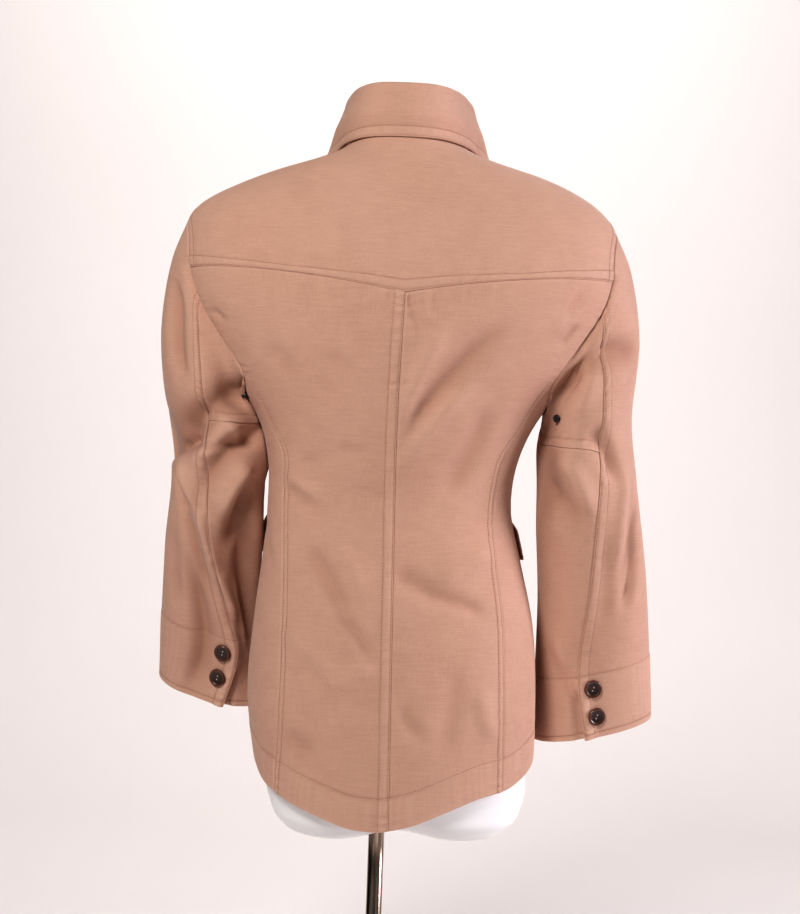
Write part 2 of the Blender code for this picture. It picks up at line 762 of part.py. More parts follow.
def make_body(cloth, collection):
    cloth_piece(
        "back_yoke", on_body(trimmed(yoke_patch(), 0.42, 0.12)),
        2 * HALF_YOKE_COLUMNS, YOKE_STEP, cloth, collection,
    )
    for side in SIDES:
        cloth_piece(
            f"back_centre_{side}", on_body(trimmed(back_centre_patch(side), 0.11, 0.50)),
            HALF_YOKE_COLUMNS, ROWS_BELOW + ROWS_BESIDE_BACK_ARMHOLE, cloth, collection,
        )
        cloth_piece(
            f"back_side_{side}", on_body(trimmed(back_side_patch(side), 0.08, 0.38)),
            SIDE_COLUMNS, ROWS_BELOW, cloth, collection,
        )
        cloth_piece(
            f"front_{side}",
            on_body(trimmed(front_patch(side), 0.20, 0.50), lap_rise if side == "right" else None),
            SHOULDER_COLUMNS + FRONT_NECK_COLUMNS + LAP_COLUMNS,
            ROWS_BELOW + ROWS_BESIDE_FRONT_ARMHOLE, cloth, collection,
        )


PATCH_ROWS = 4
UNDER_ROWS = 10
SLEEVE_PIECE_COLUMNS = BACK_SEAM_STEP - FRONT_SEAM_STEP + STEPS_ROUND
STEP_GAP = SEAM_GAP / 2.0 / STEP_WIDTH
ALONG_GAP = SEAM_GAP / 2.0 / INNER_SLEEVE_LENGTH


def make_sleeve(side, cloth, collection):
    patch_share = split(PATCH_ROWS, UNDER_ROWS)

    def top_sleeve(u, v, depth):
        along = np.interp(v, (0.0, patch_share, 1.0), (ALONG_GAP, PATCH_END, 1.0))
        low, high = FRONT_SEAM_STEP - STEPS_ROUND + STEP_GAP, BACK_SEAM_STEP - STEP_GAP
        return sleeve_point(side, low + (high - low) * u, along, depth)

    def under_sleeve(u, along, depth):
        vent = VENT_OPENING * smooth_step(VENT_START, VENT_FULL, along)
        low, high = BACK_SEAM_STEP + STEP_GAP + vent, FRONT_SEAM_STEP - STEP_GAP
        return sleeve_point(side, low + (high - low) * u, along, depth)

    def patch_seam(u):
        step = BACK_SEAM_STEP + SLEEVE_PIECE_COLUMNS * u
        return through(PATCH_LINE["step"], PATCH_LINE[side], step)

    def patch(u, v, depth):
        return under_sleeve(u, ALONG_GAP + (patch_seam(u) - 2 * ALONG_GAP) * v, depth)

    def lower(u, v, depth):
        start = patch_seam(u) + ALONG_GAP
        return under_sleeve(u, start + (1.0 - start) * v, depth)

    columns = SLEEVE_PIECE_COLUMNS
    cloth_piece(f"sleeve_top_{side}", top_sleeve, columns, PATCH_ROWS + UNDER_ROWS, cloth, collection)
    cloth_piece(f"underarm_patch_{side}", patch, columns, PATCH_ROWS, cloth, collection)
    cloth_piece(f"sleeve_under_{side}", lower, columns, UNDER_ROWS, cloth, collection)


COLLAR_ROWS = 10


def make_collar(cloth, collection):
    back_columns = 2 * (HALF_YOKE_COLUMNS - SHOULDER_COLUMNS)
    columns = back_columns + 2 * FRONT_NECK_COLUMNS
    knots = np.cumsum([0, FRONT_NECK_COLUMNS, back_columns, FRONT_NECK_COLUMNS]) / columns
    shares = (-COLLAR_END_SHARE, -NECK_POINT_SHARE, NECK_POINT_SHARE, COLLAR_END_SHARE)

    def place(u, v, depth):
        return collar_point(np.interp(u, knots, shares), v, depth)

    cloth_piece("collar", place, columns, COLLAR_ROWS, cloth, collection)


def pocket_rise(u, v):
    """A pocket bag swells towards its middle and lies flat at its seams."""
    return POCKET_BULGE * np.sqrt(np.sin(np.pi * np.clip(u, 0, 1)) * np.sin(np.pi * np.clip(v, 0, 1) * 0.75))


def make_pockets(side, cloth, collection):
    base = LAID_ON_GAP + CLOTH_THICKNESS

    def place_between(angles, heights, rise):
        def place(u, v, depth):
            angle = SIDES[side] * np.radians(angles[0] + (angles[1] - angles[0]) * u)
            height = heights[0] + (heights[1] - heights[0]) * v
            return body_point(angle, height, base + rise(u, v) + depth)

        return place

    bag = place_between(POCKET_ANGLES, POCKET_HEIGHTS, pocket_rise)
    flap = place_between(FLAP_ANGLES, FLAP_HEIGHTS, lambda u, v: FLAP_RISE * (1.0 - smooth_step(0.6, 1.0, v)))
    cloth_piece(f"pocket_{side}", bag, 6, 6, cloth, collection)
    cloth_piece(f"pocket_flap_{side}", flap, 6, 4, cloth, collection)


def disc(name, radius, thickness, sides, bevel, finish, collection):
    """A round solid that stands on its own origin, with softened rims."""
    shape = bmesh.new()
    bmesh.ops.create_cone(
        shape, cap_ends=True, segments=sides, radius1=radius, radius2=radius, depth=thickness
    )
    bmesh.ops.translate(shape, verts=shape.verts[:], vec=(0.0, 0.0, thickness / 2.0))
    made = add_object(name, shape, finish, collection)
    if bevel:
        rounding = made.modifiers.new("rim", "BEVEL")
        rounding.width = bevel
        rounding.segments = 1
        rounding.limit_method = "ANGLE"
    return made


def set_on(made, place, normal):
    """Stands an object on a point of the cloth, its own Z along the normal."""
    made.location = Vector(place)
    made.rotation_mode = "QUATERNION"
    made.rotation_quaternion = Vector(normal).to_track_quat("Z", "Y")


def make_button(name, surface, stand_off, horn, collection):
    """A button on the cloth, where surface gives a point moved out by a distance."""
    made = disc(name, BUTTON_RADIUS, BUTTON_THICKNESS, BUTTON_SIDES, BUTTON_BEVEL, horn, collection)
    place = surface(stand_off)
    set_on(made, place, surface(stand_off + 0.01) - place)


def make_buttons(horn, collection):
    for side in SIDES:
        for number, along in enumerate(CUFF_BUTTON_ALONG[side], start=1):
            make_button(
                f"cuff_button_{side}_{number}",
                lambda out: sleeve_point(side, CUFF_BUTTON_STEP, along, out),
                BUTTON_STAND_OFF, horn, collection,
            )
        middle = SIDES[side] * math.radians(sum(FLAP_ANGLES) / 2.0)
        make_button(
            f"flap_button_{side}",
            lambda out: body_point(middle, FLAP_HEIGHTS[0] + 0.016, out),
            LAID_ON_GAP + CLOTH_THICKNESS + FLAP_RISE + BUTTON_STAND_OFF, horn, collection,
        )
    for number, height in enumerate(FRONT_BUTTON_HEIGHTS, start=1):
        make_button(
            f"front_button_{number}",
            lambda out: body_point(math.pi, height, out),
            LAP_RISE + BUTTON_STAND_OFF, horn, collection,
        )


def make_eyelet(side, metal, collection):
    name = f"eyelet_{side}"
    bpy.ops.mesh.primitive_torus_add(
        major_radius=EYELET_RADIUS, minor_radius=EYELET_WIRE, major_segments=12, minor_segments=6
    )
    made = bpy.context.object
    made.name = name
    made.data.name = name
    made.data.shade_smooth()
    made.data.materials.append(metal)
    for owner in list(made.users_collection):
        owner.objects.unlink(made)
    collection.objects.link(made)
    step, along = EYELET_STEP[side], EYELET_ALONG[side]
    place = sleeve_point(side, step, along, EYELET_STAND_OFF)
    beyond = sleeve_point(side, step, along, EYELET_STAND_OFF + 0.01)
    set_on(made, place, beyond - place)


def form_lobes(points):
    """Lifts the underside along the middle, so that it ends in two soft lobes."""
    low = 1.0 - smooth_step(FORM_BOTTOM, FORM_BOTTOM + LOBE_REACH, points[:, 2])
    notch = np.exp(-(((points[:, 0] - LOBE_CENTRE) / LOBE_NOTCH_WIDTH) ** 2))
    points[:, 2] += LOBE_NOTCH * low * notch
    return points


def make_form(plastic, collection, cutters):
    """The dress form: a ball's rows and columns, drawn over the form's level sections."""
    shape = bmesh.new()
    bmesh.ops.create_uvsphere(shape, u_segments=FORM_SIDES, v_segments=FORM_ROWS, radius=1.0)
    ball = np.array([vert.co for vert in shape.verts])
    row = 1.0 - np.arccos(np.clip(ball[:, 2], -1.0, 1.0)) / np.pi
    first, last = 1.0 / FORM_ROWS, 1.0 - 1.0 / FORM_ROWS
    closer = row - FORM_ROW_EASE * np.sin(2.0 * np.pi * (row - first) / (last - first)) / (2.0 * np.pi)
    height = np.interp(closer, (0.0, first, last, 1.0), (FORM_BOTTOM, *FORM["height"][[0, -1]], FORM_TOP))
    points = section_point(FORM, np.arctan2(ball[:, 0], ball[:, 1]), height)
    at_pole = (row < first / 2) | (row > 1.0 - first / 2)
    centre = (points[:, 0].max() + points[:, 0].min()) / 2.0
    points[at_pole, 0] = np.where(row[at_pole] < 0.5, centre, 0.0)
    points[at_pole, 1] = 0.0
    for vert, point in zip(shape.verts, form_lobes(points)):
        vert.co = point
    form = add_object("dress_form", shape, plastic, collection, smooth_angle=60.0)
    depth = SOCKET_TOP - FORM_BOTTOM + 0.05
    cutter = disc(
        "pole_socket_cutter", POLE_RADIUS + SOCKET_CLEARANCE, depth, ROUND_SIDES, 0.0, plastic, cutters
    )
    cutter.location = (0.0, 0.0, SOCKET_TOP - depth)
    cutter.hide_render = True
    cutter.display_type = "WIRE"
    socket = form.modifiers.new("pole socket", "BOOLEAN")
    socket.operation = "DIFFERENCE"
    socket.object = cutter


def make_stand(metal, collection):
    disc("base_plate", BASE_RADIUS, BASE_THICKNESS, ROUND_SIDES, BASE_BEVEL, metal, collection)
    foot = BASE_THICKNESS + SEAM_GAP
    pole = disc("pole", POLE_RADIUS, POLE_TOP - foot, ROUND_SIDES, 0.0, metal, collection)
    pole.location = (0.0, 0.0, foot)


def main():
    for old in list(bpy.data.objects):
        bpy.data.objects.remove(old, do_unlink=True)
    jacket = bpy.data.collections.new("jacket_on_dress_form")
    cutters = bpy.data.collections.new("cutters")
    for collection in (jacket, cutters):
        bpy.context.scene.collection.children.link(collection)
    cloth = material("rose_cotton", (0.60, 0.37, 0.28), 0.90)
    horn = material("dark_horn", (0.035, 0.018, 0.012), 0.35)
    black_metal = material("black_metal", (0.02, 0.02, 0.02), 0.40, 1.0)
    chrome = material("chrome", (0.75, 0.73, 0.70), 0.15, 1.0)
    white_gloss = material("white_gloss", (0.86, 0.85, 0.85), 0.30)
    make_body(cloth, jacket)
    make_collar(cloth, jacket)
    for side in SIDES:
        make_sleeve(side, cloth, jacket)
        make_pockets(side, cloth, jacket)
        make_eyelet(side, black_metal, jacket)
    make_buttons(horn, jacket)
    make_form(white_gloss, jacket, cutters)
    make_stand(chrome, jacket)


main()
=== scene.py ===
# %% [markdown]
# A light cotton jacket stands on a limbless dress form, seen from behind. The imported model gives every
# piece its place and size. This lesson dresses it: each cloth panel becomes a fine thin shell with
# creases, seams and stitches, and each hard piece gets its finish.

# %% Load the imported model
import json
import math
from dataclasses import dataclass

import bmesh
import bpy
import numpy as np
from mathutils import Matrix, Vector

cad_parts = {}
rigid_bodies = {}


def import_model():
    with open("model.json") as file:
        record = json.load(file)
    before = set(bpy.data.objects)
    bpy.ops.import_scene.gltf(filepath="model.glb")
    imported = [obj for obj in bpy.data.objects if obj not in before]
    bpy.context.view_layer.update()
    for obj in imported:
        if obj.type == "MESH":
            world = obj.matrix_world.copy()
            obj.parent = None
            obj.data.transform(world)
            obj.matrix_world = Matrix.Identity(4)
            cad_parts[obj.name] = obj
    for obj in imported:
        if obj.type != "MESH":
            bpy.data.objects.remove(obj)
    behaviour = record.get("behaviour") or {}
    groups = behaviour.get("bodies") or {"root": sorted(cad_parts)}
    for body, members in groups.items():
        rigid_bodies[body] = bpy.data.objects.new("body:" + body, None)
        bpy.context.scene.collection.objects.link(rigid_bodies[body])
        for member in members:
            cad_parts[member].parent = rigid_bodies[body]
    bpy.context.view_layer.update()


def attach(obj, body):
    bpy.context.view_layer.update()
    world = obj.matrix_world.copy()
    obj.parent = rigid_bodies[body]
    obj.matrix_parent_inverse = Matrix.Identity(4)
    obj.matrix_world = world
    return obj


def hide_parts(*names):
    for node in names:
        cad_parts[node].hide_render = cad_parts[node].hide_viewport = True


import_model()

# %% [markdown]
# The photograph was taken from behind the form, a little below chest height, with the camera turned by a
# small roll. A camera can be aimed with a constraint or set by a matrix. The matrix is used here, because
# the roll and the level view are then two plain numbers.

# %% Camera
IMAGE_WIDTH, IMAGE_HEIGHT = 800, 914
FOCAL_PIXELS = 1870.0
CAMERA_PLACE = Vector((-0.010, 1.91, 0.67))
CAMERA_ROLL = math.radians(2.1)
SENSOR = 36.0

camera_data = bpy.data.cameras.new("back_view")
camera_data.sensor_fit = "VERTICAL"
camera_data.sensor_height = SENSOR
camera_data.lens = FOCAL_PIXELS / IMAGE_HEIGHT * SENSOR
camera = bpy.data.objects.new("back_view", camera_data)
level_right, level_up = Vector((-1, 0, 0)), Vector((0, 0, 1))
camera_right = level_right * math.cos(CAMERA_ROLL) + level_up * math.sin(CAMERA_ROLL)
camera_up = level_up * math.cos(CAMERA_ROLL) - level_right * math.sin(CAMERA_ROLL)
facing = Matrix((camera_right, camera_up, Vector((0, 1, 0)))).transposed().to_4x4()
camera.matrix_world = Matrix.Translation(CAMERA_PLACE) @ facing
bpy.context.scene.collection.objects.link(camera)
bpy.context.scene.camera = camera
print("lens", round(camera_data.lens, 1), "for an image of", IMAGE_WIDTH, "by", IMAGE_HEIGHT)

# %% [markdown]
# The jacket's body is a loft through level sections, the same sections that the solid panels were cut
# from. They are repeated here so that a fine shell can be drawn on exactly the same form. Each section
# has its own half width to the left and right and its own depth to the back and front, because the form
# stands a little turned.

# %% Level sections of the jacket's body
SECTION_ROUNDNESS = 2.3
BODY_COLUMNS = "height left right back front"
BODY_SECTIONS = (
    (0.300, 0.120, 0.154, 0.106, 0.106),
    (0.360, 0.127, 0.156, 0.108, 0.108),
    (0.420, 0.136, 0.157, 0.111, 0.106),
    (0.510, 0.132, 0.150, 0.104, 0.100),
    (0.570, 0.126, 0.136, 0.092, 0.092),
    (0.620, 0.123, 0.125, 0.085, 0.088),
    (0.660, 0.124, 0.128, 0.089, 0.099),
    (0.705, 0.136, 0.145, 0.098, 0.118),
    (0.736, 0.156, 0.166, 0.103, 0.124),
    (0.760, 0.174, 0.186, 0.107, 0.120),
    (0.789, 0.193, 0.204, 0.111, 0.112),
    (0.815, 0.207, 0.218, 0.113, 0.105),
    (0.853, 0.218, 0.228, 0.112, 0.092),
    (0.885, 0.217, 0.225, 0.105, 0.080),
    (0.905, 0.213, 0.221, 0.098, 0.071),
    (0.920, 0.201, 0.211, 0.093, 0.064),
    (0.940, 0.165, 0.184, 0.085, 0.054),
    (0.955, 0.128, 0.150, 0.080, 0.047),
    (0.968, 0.087, 0.106, 0.075, 0.041),
    (0.975, 0.068, 0.084, 0.073, 0.039),
    (0.983, 0.056, 0.068, 0.070, 0.036),
    (1.000, 0.045, 0.056, 0.067, 0.033),
)
SIDES = {"left": 1, "right": -1}
SMALL, NUDGE_OUT = 1e-4, 0.001


def table(names, rows):
    """The rows of a table as one array for each named column."""
    return dict(zip(names.split(), np.array(rows, float).T))


def smooth_step(start, end, value):
    share = np.clip((value - start) / (end - start), 0.0, 1.0)
    return share * share * (3.0 - 2.0 * share)


def hermite(share, width, low, high, low_slope, high_slope):
    """A cubic between two values with given slopes."""
    two, three = share**2, share**3
    return (
        (2 * three - 3 * two + 1) * low
        + (three - 2 * two + share) * width * low_slope
        + (3 * two - 2 * three) * high
        + (three - two) * width * high_slope
    )


def span(knots, at):
    """The stretch of the knots that holds each value, and the share of it passed."""
    at = np.clip(at, knots[0], knots[-1])
    index = np.clip(np.searchsorted(knots, at, side="right") - 1, 0, len(knots) - 2)
    width = knots[index + 1] - knots[index]
    return index, (at - knots[index]) / width, width


def through(knots, values, at):
    """A smooth curve through a column of values."""
    slopes = np.gradient(values, knots)
    index, share, width = span(knots, np.asarray(at, float))
    return hermite(share, width, values[index], values[index + 1], slopes[index], slopes[index + 1])


def column_at(columns, name, at):
    """One column of a table, read at a value of the table's first column."""
    return through(next(iter(columns.values())), columns[name], at)


def unit(vectors):
    return vectors / np.linalg.norm(vectors, axis=-1, keepdims=True)


def between(first, second, share):
    return first + (second - first) * np.asarray(share)[..., None]


def section_point(sections, angle, height):
    """A point of a lofted body: angle 0 is the centre back, 90 degrees the wearer's left."""
    sine, cosine = np.sin(angle), np.cos(angle)
    power = 2.0 / SECTION_ROUNDNESS
    left, right = column_at(sections, "left", height), column_at(sections, "right", height)
    back, front = column_at(sections, "back", height), column_at(sections, "front", height)
    half_width = np.where(sine > 0, left, right)
    depth = np.where(cosine > 0, back, front)
    x = half_width * np.sign(sine) * np.abs(sine) ** power
    y = depth * np.sign(cosine) * np.abs(cosine) ** power
    return np.stack([x, y, height + 0.0 * x], axis=-1)


BODY = table(BODY_COLUMNS, BODY_SECTIONS)


def body_point(angle, height, out=0.0):
    """A point of the jacket's body, moved out along the cloth's normal."""
    angle, height = np.broadcast_arrays(np.asarray(angle, float), np.asarray(height, float))
    place = section_point(BODY, angle, height)
    round_way = section_point(BODY, angle + SMALL, height) - section_point(BODY, angle - SMALL, height)
    up_way = section_point(BODY, angle, height + SMALL) - section_point(BODY, angle, height - SMALL)
    normal = unit(np.cross(up_way, round_way))
    return place + normal * np.asarray(out)[..., None]


def place_and_way(angle, height, lift=0.0):
    """A point that stands off the body, and its way out."""
    place = body_point(angle, height, lift)
    return place, unit(body_point(angle, height, lift + NUDGE_OUT) - place)


WAIST_ROW = 5
print("body half width at the waist", BODY["left"][WAIST_ROW], BODY["right"][WAIST_ROW])

# %% [markdown]
# Seams divide the body into a yoke, two back centre panels, two back side panels and two fronts. On the
# real jacket they give the cloth its waist. Each seam is a short table of places on the loft, and a
# smooth curve runs through them. A drawn curve object would do as well, but a table can be read at any
# height.

# %% Seams of the body
ARMHOLE_COLUMNS = "step body_angle height"
ARMHOLE = (
    (0, 95.0, 0.919),
    (2, 81.0, 0.900),
    (4, 73.0, 0.878),
    (6, 70.0, 0.852),
    (8, 68.0, 0.820),
    (10, 64.5, 0.789),
    (12, 62.0, 0.760),
    (13, 63.5, 0.747),
    (14.5, 76.0, 0.729),
    (16, 92.0, 0.722),
    (18, 110.0, 0.733),
    (20, 117.0, 0.765),
    (22, 116.0, 0.805),
    (24, 113.0, 0.845),
    (26, 107.0, 0.885),
    (28, 95.0, 0.919),
)
SHOULDER_STEP, YOKE_STEP, BACK_SEAM_STEP, PRINCESS_STEP = 0, 6, 8, 13
UNDERARM_STEP, FRONT_SEAM_STEP, STEPS_ROUND = 16, 22, 28
CENTRE_BACK_COLUMNS = "height across"
CENTRE_BACK = ((0.300, -0.012), (0.540, -0.008), (0.705, -0.006), (0.829, -0.009))
YOKE_POINT_HEIGHT, YOKE_SWEEP = 0.829, 1.7
PRINCESS_COLUMNS = "height left right"
PRINCESS = (
    (0.330, 0.102, 0.123),
    (0.500, 0.100, 0.118),
    (0.640, 0.105, 0.106),
    (0.670, 0.106, 0.112),
    (0.705, 0.124, 0.132),
)
PRINCESS_TURN, FOOT_GUESS, FOOT_ROUNDS = 0.02, 0.345, 4
SIDE_SEAM_ANGLE = 92.0
HEM_COLUMNS = "angle left right"
HEM = (
    (0, 0.3085, 0.3085),
    (10, 0.3105, 0.3155),
    (22, 0.3180, 0.3280),
    (36, 0.3265, 0.3400),
    (52, 0.3365, 0.3465),
    (65, 0.3455, 0.3560),
    (78, 0.3600, 0.3650),
    (92, 0.3690, 0.3690),
    (130, 0.3690, 0.3690),
    (200, 0.3690, 0.3690),
)
NECK_COLUMNS = "share angle height"
NECK = (
    (0.00, 0.0, 0.998),
    (0.22, 45.0, 0.994),
    (0.45, 95.0, 0.980),
    (0.60, 141.0, 0.967),
    (0.75, 161.0, 0.950),
    (0.88, 171.0, 0.928),
    (1.00, 180.0, 0.905),
)
NECK_POINT_SHARE, COLLAR_END_SHARE = 0.45, 0.97
FRONT_LAP, LAP_RISE, LAP_RAMP = 0.016, 0.0030, (0.020, 0.050)

ARMHOLE_SEAM = table(ARMHOLE_COLUMNS, ARMHOLE)
CENTRE_BACK_SEAM = table(CENTRE_BACK_COLUMNS, CENTRE_BACK)
PRINCESS_SEAM = table(PRINCESS_COLUMNS, PRINCESS)
HEM_EDGE = table(HEM_COLUMNS, HEM)
NECK_SEAM = table(NECK_COLUMNS, NECK)


def angle_across(across, height):
    """The angle of the back's point that lies this far across."""
    half_width = np.where(across > 0, column_at(BODY, "left", height), column_at(BODY, "right", height))
    share = np.clip(np.abs(across) / half_width, 0.0, 1.0)
    return np.sign(across) * np.arcsin(share ** (SECTION_ROUNDNESS / 2.0))


def pair(angle, height):
    """Angle and height of points on the body, side by side."""
    angle, height = np.broadcast_arrays(np.asarray(angle, float), np.asarray(height, float))
    return np.stack([angle, height], axis=-1)


def armhole(side, step):
    step = np.mod(step, STEPS_ROUND)
    angle = np.radians(column_at(ARMHOLE_SEAM, "body_angle", step))
    return pair(SIDES[side] * angle, column_at(ARMHOLE_SEAM, "height", step))


def hem_height(angle):
    degrees = np.degrees(np.abs(angle))
    left, right = column_at(HEM_EDGE, "left", degrees), column_at(HEM_EDGE, "right", degrees)
    return np.where(np.asarray(angle) > 0, left, right)


def centre_back(height):
    across = column_at(CENTRE_BACK_SEAM, "across", height)
    return pair(angle_across(across, height), height)


def princess(side, height):
    """The princess seam from the hem up to the armhole."""
    end = armhole(side, PRINCESS_STEP)
    across = SIDES[side] * column_at(PRINCESS_SEAM, side, height)
    last = PRINCESS_SEAM["height"][-1]
    low = angle_across(across, np.minimum(height, last))
    high = low + (end[..., 0] - low) * smooth_step(last - PRINCESS_TURN, end[..., 1], height)
    return pair(high, height)


def princess_foot(side):
    """Where the princess seam meets the hem."""
    height = FOOT_GUESS
    for _ in range(FOOT_ROUNDS):
        height = float(hem_height(princess(side, height)[..., 0]))
    return height


def neck(share):
    """The neck seam: share 0 is the centre back and 1 the centre front."""
    angle = np.radians(column_at(NECK_SEAM, "angle", np.abs(share)))
    return pair(np.sign(share) * angle, column_at(NECK_SEAM, "height", np.abs(share)))


print("princess seams end at the hem", round(princess_foot("left"), 4), round(princess_foot("right"), 4))

# %% [markdown]
# Each panel fills the space between four seams. A panel could be cut out of the whole shell with
# Booleans, but filling between edges keeps the grid lines of the mesh parallel to the seams, which is
# what stitches and felled bands need.

# %% Panels between the seams
ROWS_BELOW = 12
ROWS_BESIDE_BACK_ARMHOLE = PRINCESS_STEP - YOKE_STEP
ROWS_BESIDE_FRONT_ARMHOLE = STEPS_ROUND - UNDERARM_STEP
HALF_YOKE_COLUMNS, SHOULDER_COLUMNS, FRONT_NECK_COLUMNS, LAP_COLUMNS = 8, 4, 5, 2
ARMPIT_HEIGHT = 0.735
PRINCESS_SHARE = ROWS_BELOW / (ROWS_BELOW + ROWS_BESIDE_BACK_ARMHOLE)
UNDERARM_SHARE = ROWS_BELOW / (ROWS_BELOW + ROWS_BESIDE_FRONT_ARMHOLE)
ALMOST_ONE = 1.0 - 1e-9


def fill(bottom, top, start, end):
    """A patch that fills four edges, each a function of a share from 0 to 1."""

    def place(u, v):
        across = between(bottom(u), top(u), v)
        up = between(start(v), end(v), u)
        corners = between(
            between(bottom(0.0 * u), bottom(0.0 * u + 1.0), u),
            between(top(0.0 * u), top(0.0 * u + 1.0), u),
            v,
        )
        return across + up - corners

    return place


def two_stretches(share_below, below, above):
    """One edge made of two stretches that meet at a share of its length."""

    def edge(v):
        lower = below(np.clip(v / share_below, 0.0, 1.0))
        upper = above(np.clip((v - share_below) / (1.0 - share_below), 0.0, 1.0))
        return np.where((v <= share_below)[..., None], lower, upper)

    return edge


def yoke_seam(side):
    """The yoke's lower seam from its point at the centre back to the armhole."""
    end = armhole(side, YOKE_STEP)
    start_across = float(column_at(CENTRE_BACK_SEAM, "across", YOKE_POINT_HEIGHT))
    end_across = float(body_point(end[..., 0], end[..., 1])[..., 0])

    def edge(share):
        rise = 1.0 - (1.0 - share) ** YOKE_SWEEP
        height = YOKE_POINT_HEIGHT + (end[..., 1] - YOKE_POINT_HEIGHT) * rise
        across = start_across + (end_across - start_across) * share
        return pair(angle_across(across, height), height)

    return edge


def back_centre_patch(side):
    foot = princess_foot(side)
    low = float(hem_height(0.0))
    foot_angle = float(princess(side, foot)[..., 0])
    low_angle = float(centre_back(low)[..., 0])
    top_height = float(armhole(side, PRINCESS_STEP)[..., 1])

    def bottom(u):
        angle = low_angle + (foot_angle - low_angle) * u
        return pair(angle, hem_height(angle))

    def seam_height(v):
        return np.interp(v, (0.0, PRINCESS_SHARE, 1.0), (low, ARMPIT_HEIGHT, YOKE_POINT_HEIGHT))

    end = two_stretches(
        PRINCESS_SHARE,
        lambda t: princess(side, foot + (top_height - foot) * t),
        lambda t: armhole(side, PRINCESS_STEP + (YOKE_STEP - PRINCESS_STEP) * t),
    )
    return fill(bottom, yoke_seam(side), lambda v: centre_back(seam_height(v)), end)


def back_side_patch(side):
    foot = princess_foot(side)
    foot_angle = float(princess(side, foot)[..., 0])
    side_angle = SIDES[side] * math.radians(SIDE_SEAM_ANGLE)
    top_height = float(armhole(side, PRINCESS_STEP)[..., 1])
    underarm_height = float(armhole(side, UNDERARM_STEP)[..., 1])
    side_foot = float(hem_height(side_angle))

    def bottom(u):
        angle = foot_angle + (side_angle - foot_angle) * u
        return pair(angle, hem_height(angle))

    return fill(
        bottom,
        lambda u: armhole(side, PRINCESS_STEP + (UNDERARM_STEP - PRINCESS_STEP) * u),
        lambda v: princess(side, foot + (top_height - foot) * v),
        lambda v: pair(side_angle, side_foot + (underarm_height - side_foot) * v),
    )


def lap_angle(height):
    """How far past the centre front the lap reaches, as an angle."""
    half_width = column_at(BODY, "left", height)
    return np.arcsin((FRONT_LAP / half_width) ** (SECTION_ROUNDNESS / 2.0))


def lap_rise(angle, height):
    """The right front rises over the left where they lap."""
    across = -section_point(BODY, angle, height)[..., 0]
    is_front = np.cos(angle) < 0
    return np.where(is_front, LAP_RISE * (1.0 - smooth_step(*LAP_RAMP, across)), 0.0)


def front_patch(side):
    way = SIDES[side]
    side_angle = way * math.radians(SIDE_SEAM_ANGLE)
    side_foot = float(hem_height(side_angle))
    underarm_height = float(armhole(side, UNDERARM_STEP)[..., 1])
    neck_point = neck(way * NECK_POINT_SHARE)
    tip = armhole(side, SHOULDER_STEP)
    columns = SHOULDER_COLUMNS + FRONT_NECK_COLUMNS + LAP_COLUMNS
    neck_start = SHOULDER_COLUMNS / columns
    neck_end = (SHOULDER_COLUMNS + FRONT_NECK_COLUMNS) / columns
    front_neck = float(NECK_SEAM["height"][-1])
    front_foot = float(HEM_EDGE[side][-1])
    lap_top = way * (math.pi + lap_angle(front_neck))
    lap_foot = way * (math.pi + lap_angle(front_foot))

    def bottom(u):
        angle = side_angle + (lap_foot - side_angle) * u
        return pair(angle, hem_height(angle))

    def top(u):
        shoulder = between(tip, neck_point, np.clip(u / neck_start, 0.0, 1.0))
        share = np.interp(u, (neck_start, neck_end), (NECK_POINT_SHARE, COLLAR_END_SHARE))
        lap = np.clip((u - neck_end) / (1.0 - neck_end), 0.0, 1.0)
        beyond = between(neck(way * COLLAR_END_SHARE), pair(lap_top, front_neck), lap)
        round_neck = np.where((u < neck_end)[..., None], neck(way * share), beyond)
        return np.where((u <= neck_start)[..., None], shoulder, round_neck)

    start = two_stretches(
        UNDERARM_SHARE,
        lambda t: pair(side_angle, side_foot + (underarm_height - side_foot) * t),
        lambda t: armhole(side, UNDERARM_STEP + ROWS_BESIDE_FRONT_ARMHOLE * np.minimum(t, ALMOST_ONE)),
    )

    def end(v):
        height = np.interp(v, (0.0, UNDERARM_SHARE, 1.0), (front_foot, ARMPIT_HEIGHT, front_neck))
        return pair(way * (math.pi + lap_angle(height)), height)

    return fill(bottom, top, start, end)


def yoke_patch():
    columns = 2 * HALF_YOKE_COLUMNS
    right_seam, left_seam = yoke_seam("right"), yoke_seam("left")

    def bottom(u):
        from_middle = np.abs(2.0 * u - 1.0)
        return np.where((u < 0.5)[..., None], right_seam(from_middle), left_seam(from_middle))

    def top(u):
        ends = (0.0, SHOULDER_COLUMNS / columns, 1.0 - SHOULDER_COLUMNS / columns, 1.0)
        edge = neck(np.interp(u, ends[1:3], (-NECK_POINT_SHARE, NECK_POINT_SHARE)))
        for side, outer, inner in (("right", ends[0], ends[1]), ("left", ends[3], ends[2])):
            along = np.clip((u - outer) / (inner - outer), 0.0, 1.0)
            shoulder = between(armhole(side, SHOULDER_STEP), neck(SIDES[side] * NECK_POINT_SHARE), along)
            edge = np.where((np.abs(u - outer) < abs(inner - outer))[..., None], shoulder, edge)
        return edge

    return fill(
        bottom,
        top,
        lambda v: armhole("right", YOKE_STEP * (1.0 - v)),
        lambda v: armhole("left", YOKE_STEP * (1.0 - v)),
    )


print("yoke point", np.round(body_point(*yoke_patch()(np.array(0.5), np.array(0.0))), 3))

# %% [markdown]
# A sleeve is a tube of leaning rings below the armhole. It has a top sleeve and an under sleeve, joined
# at a back seam that ends in a vent. An extruded curve would keep its rings square to the arm. These
# rings lean by their own numbers, so they can follow the way each sleeve hangs: the left one is bent at
# the elbow, the right one is straighter.

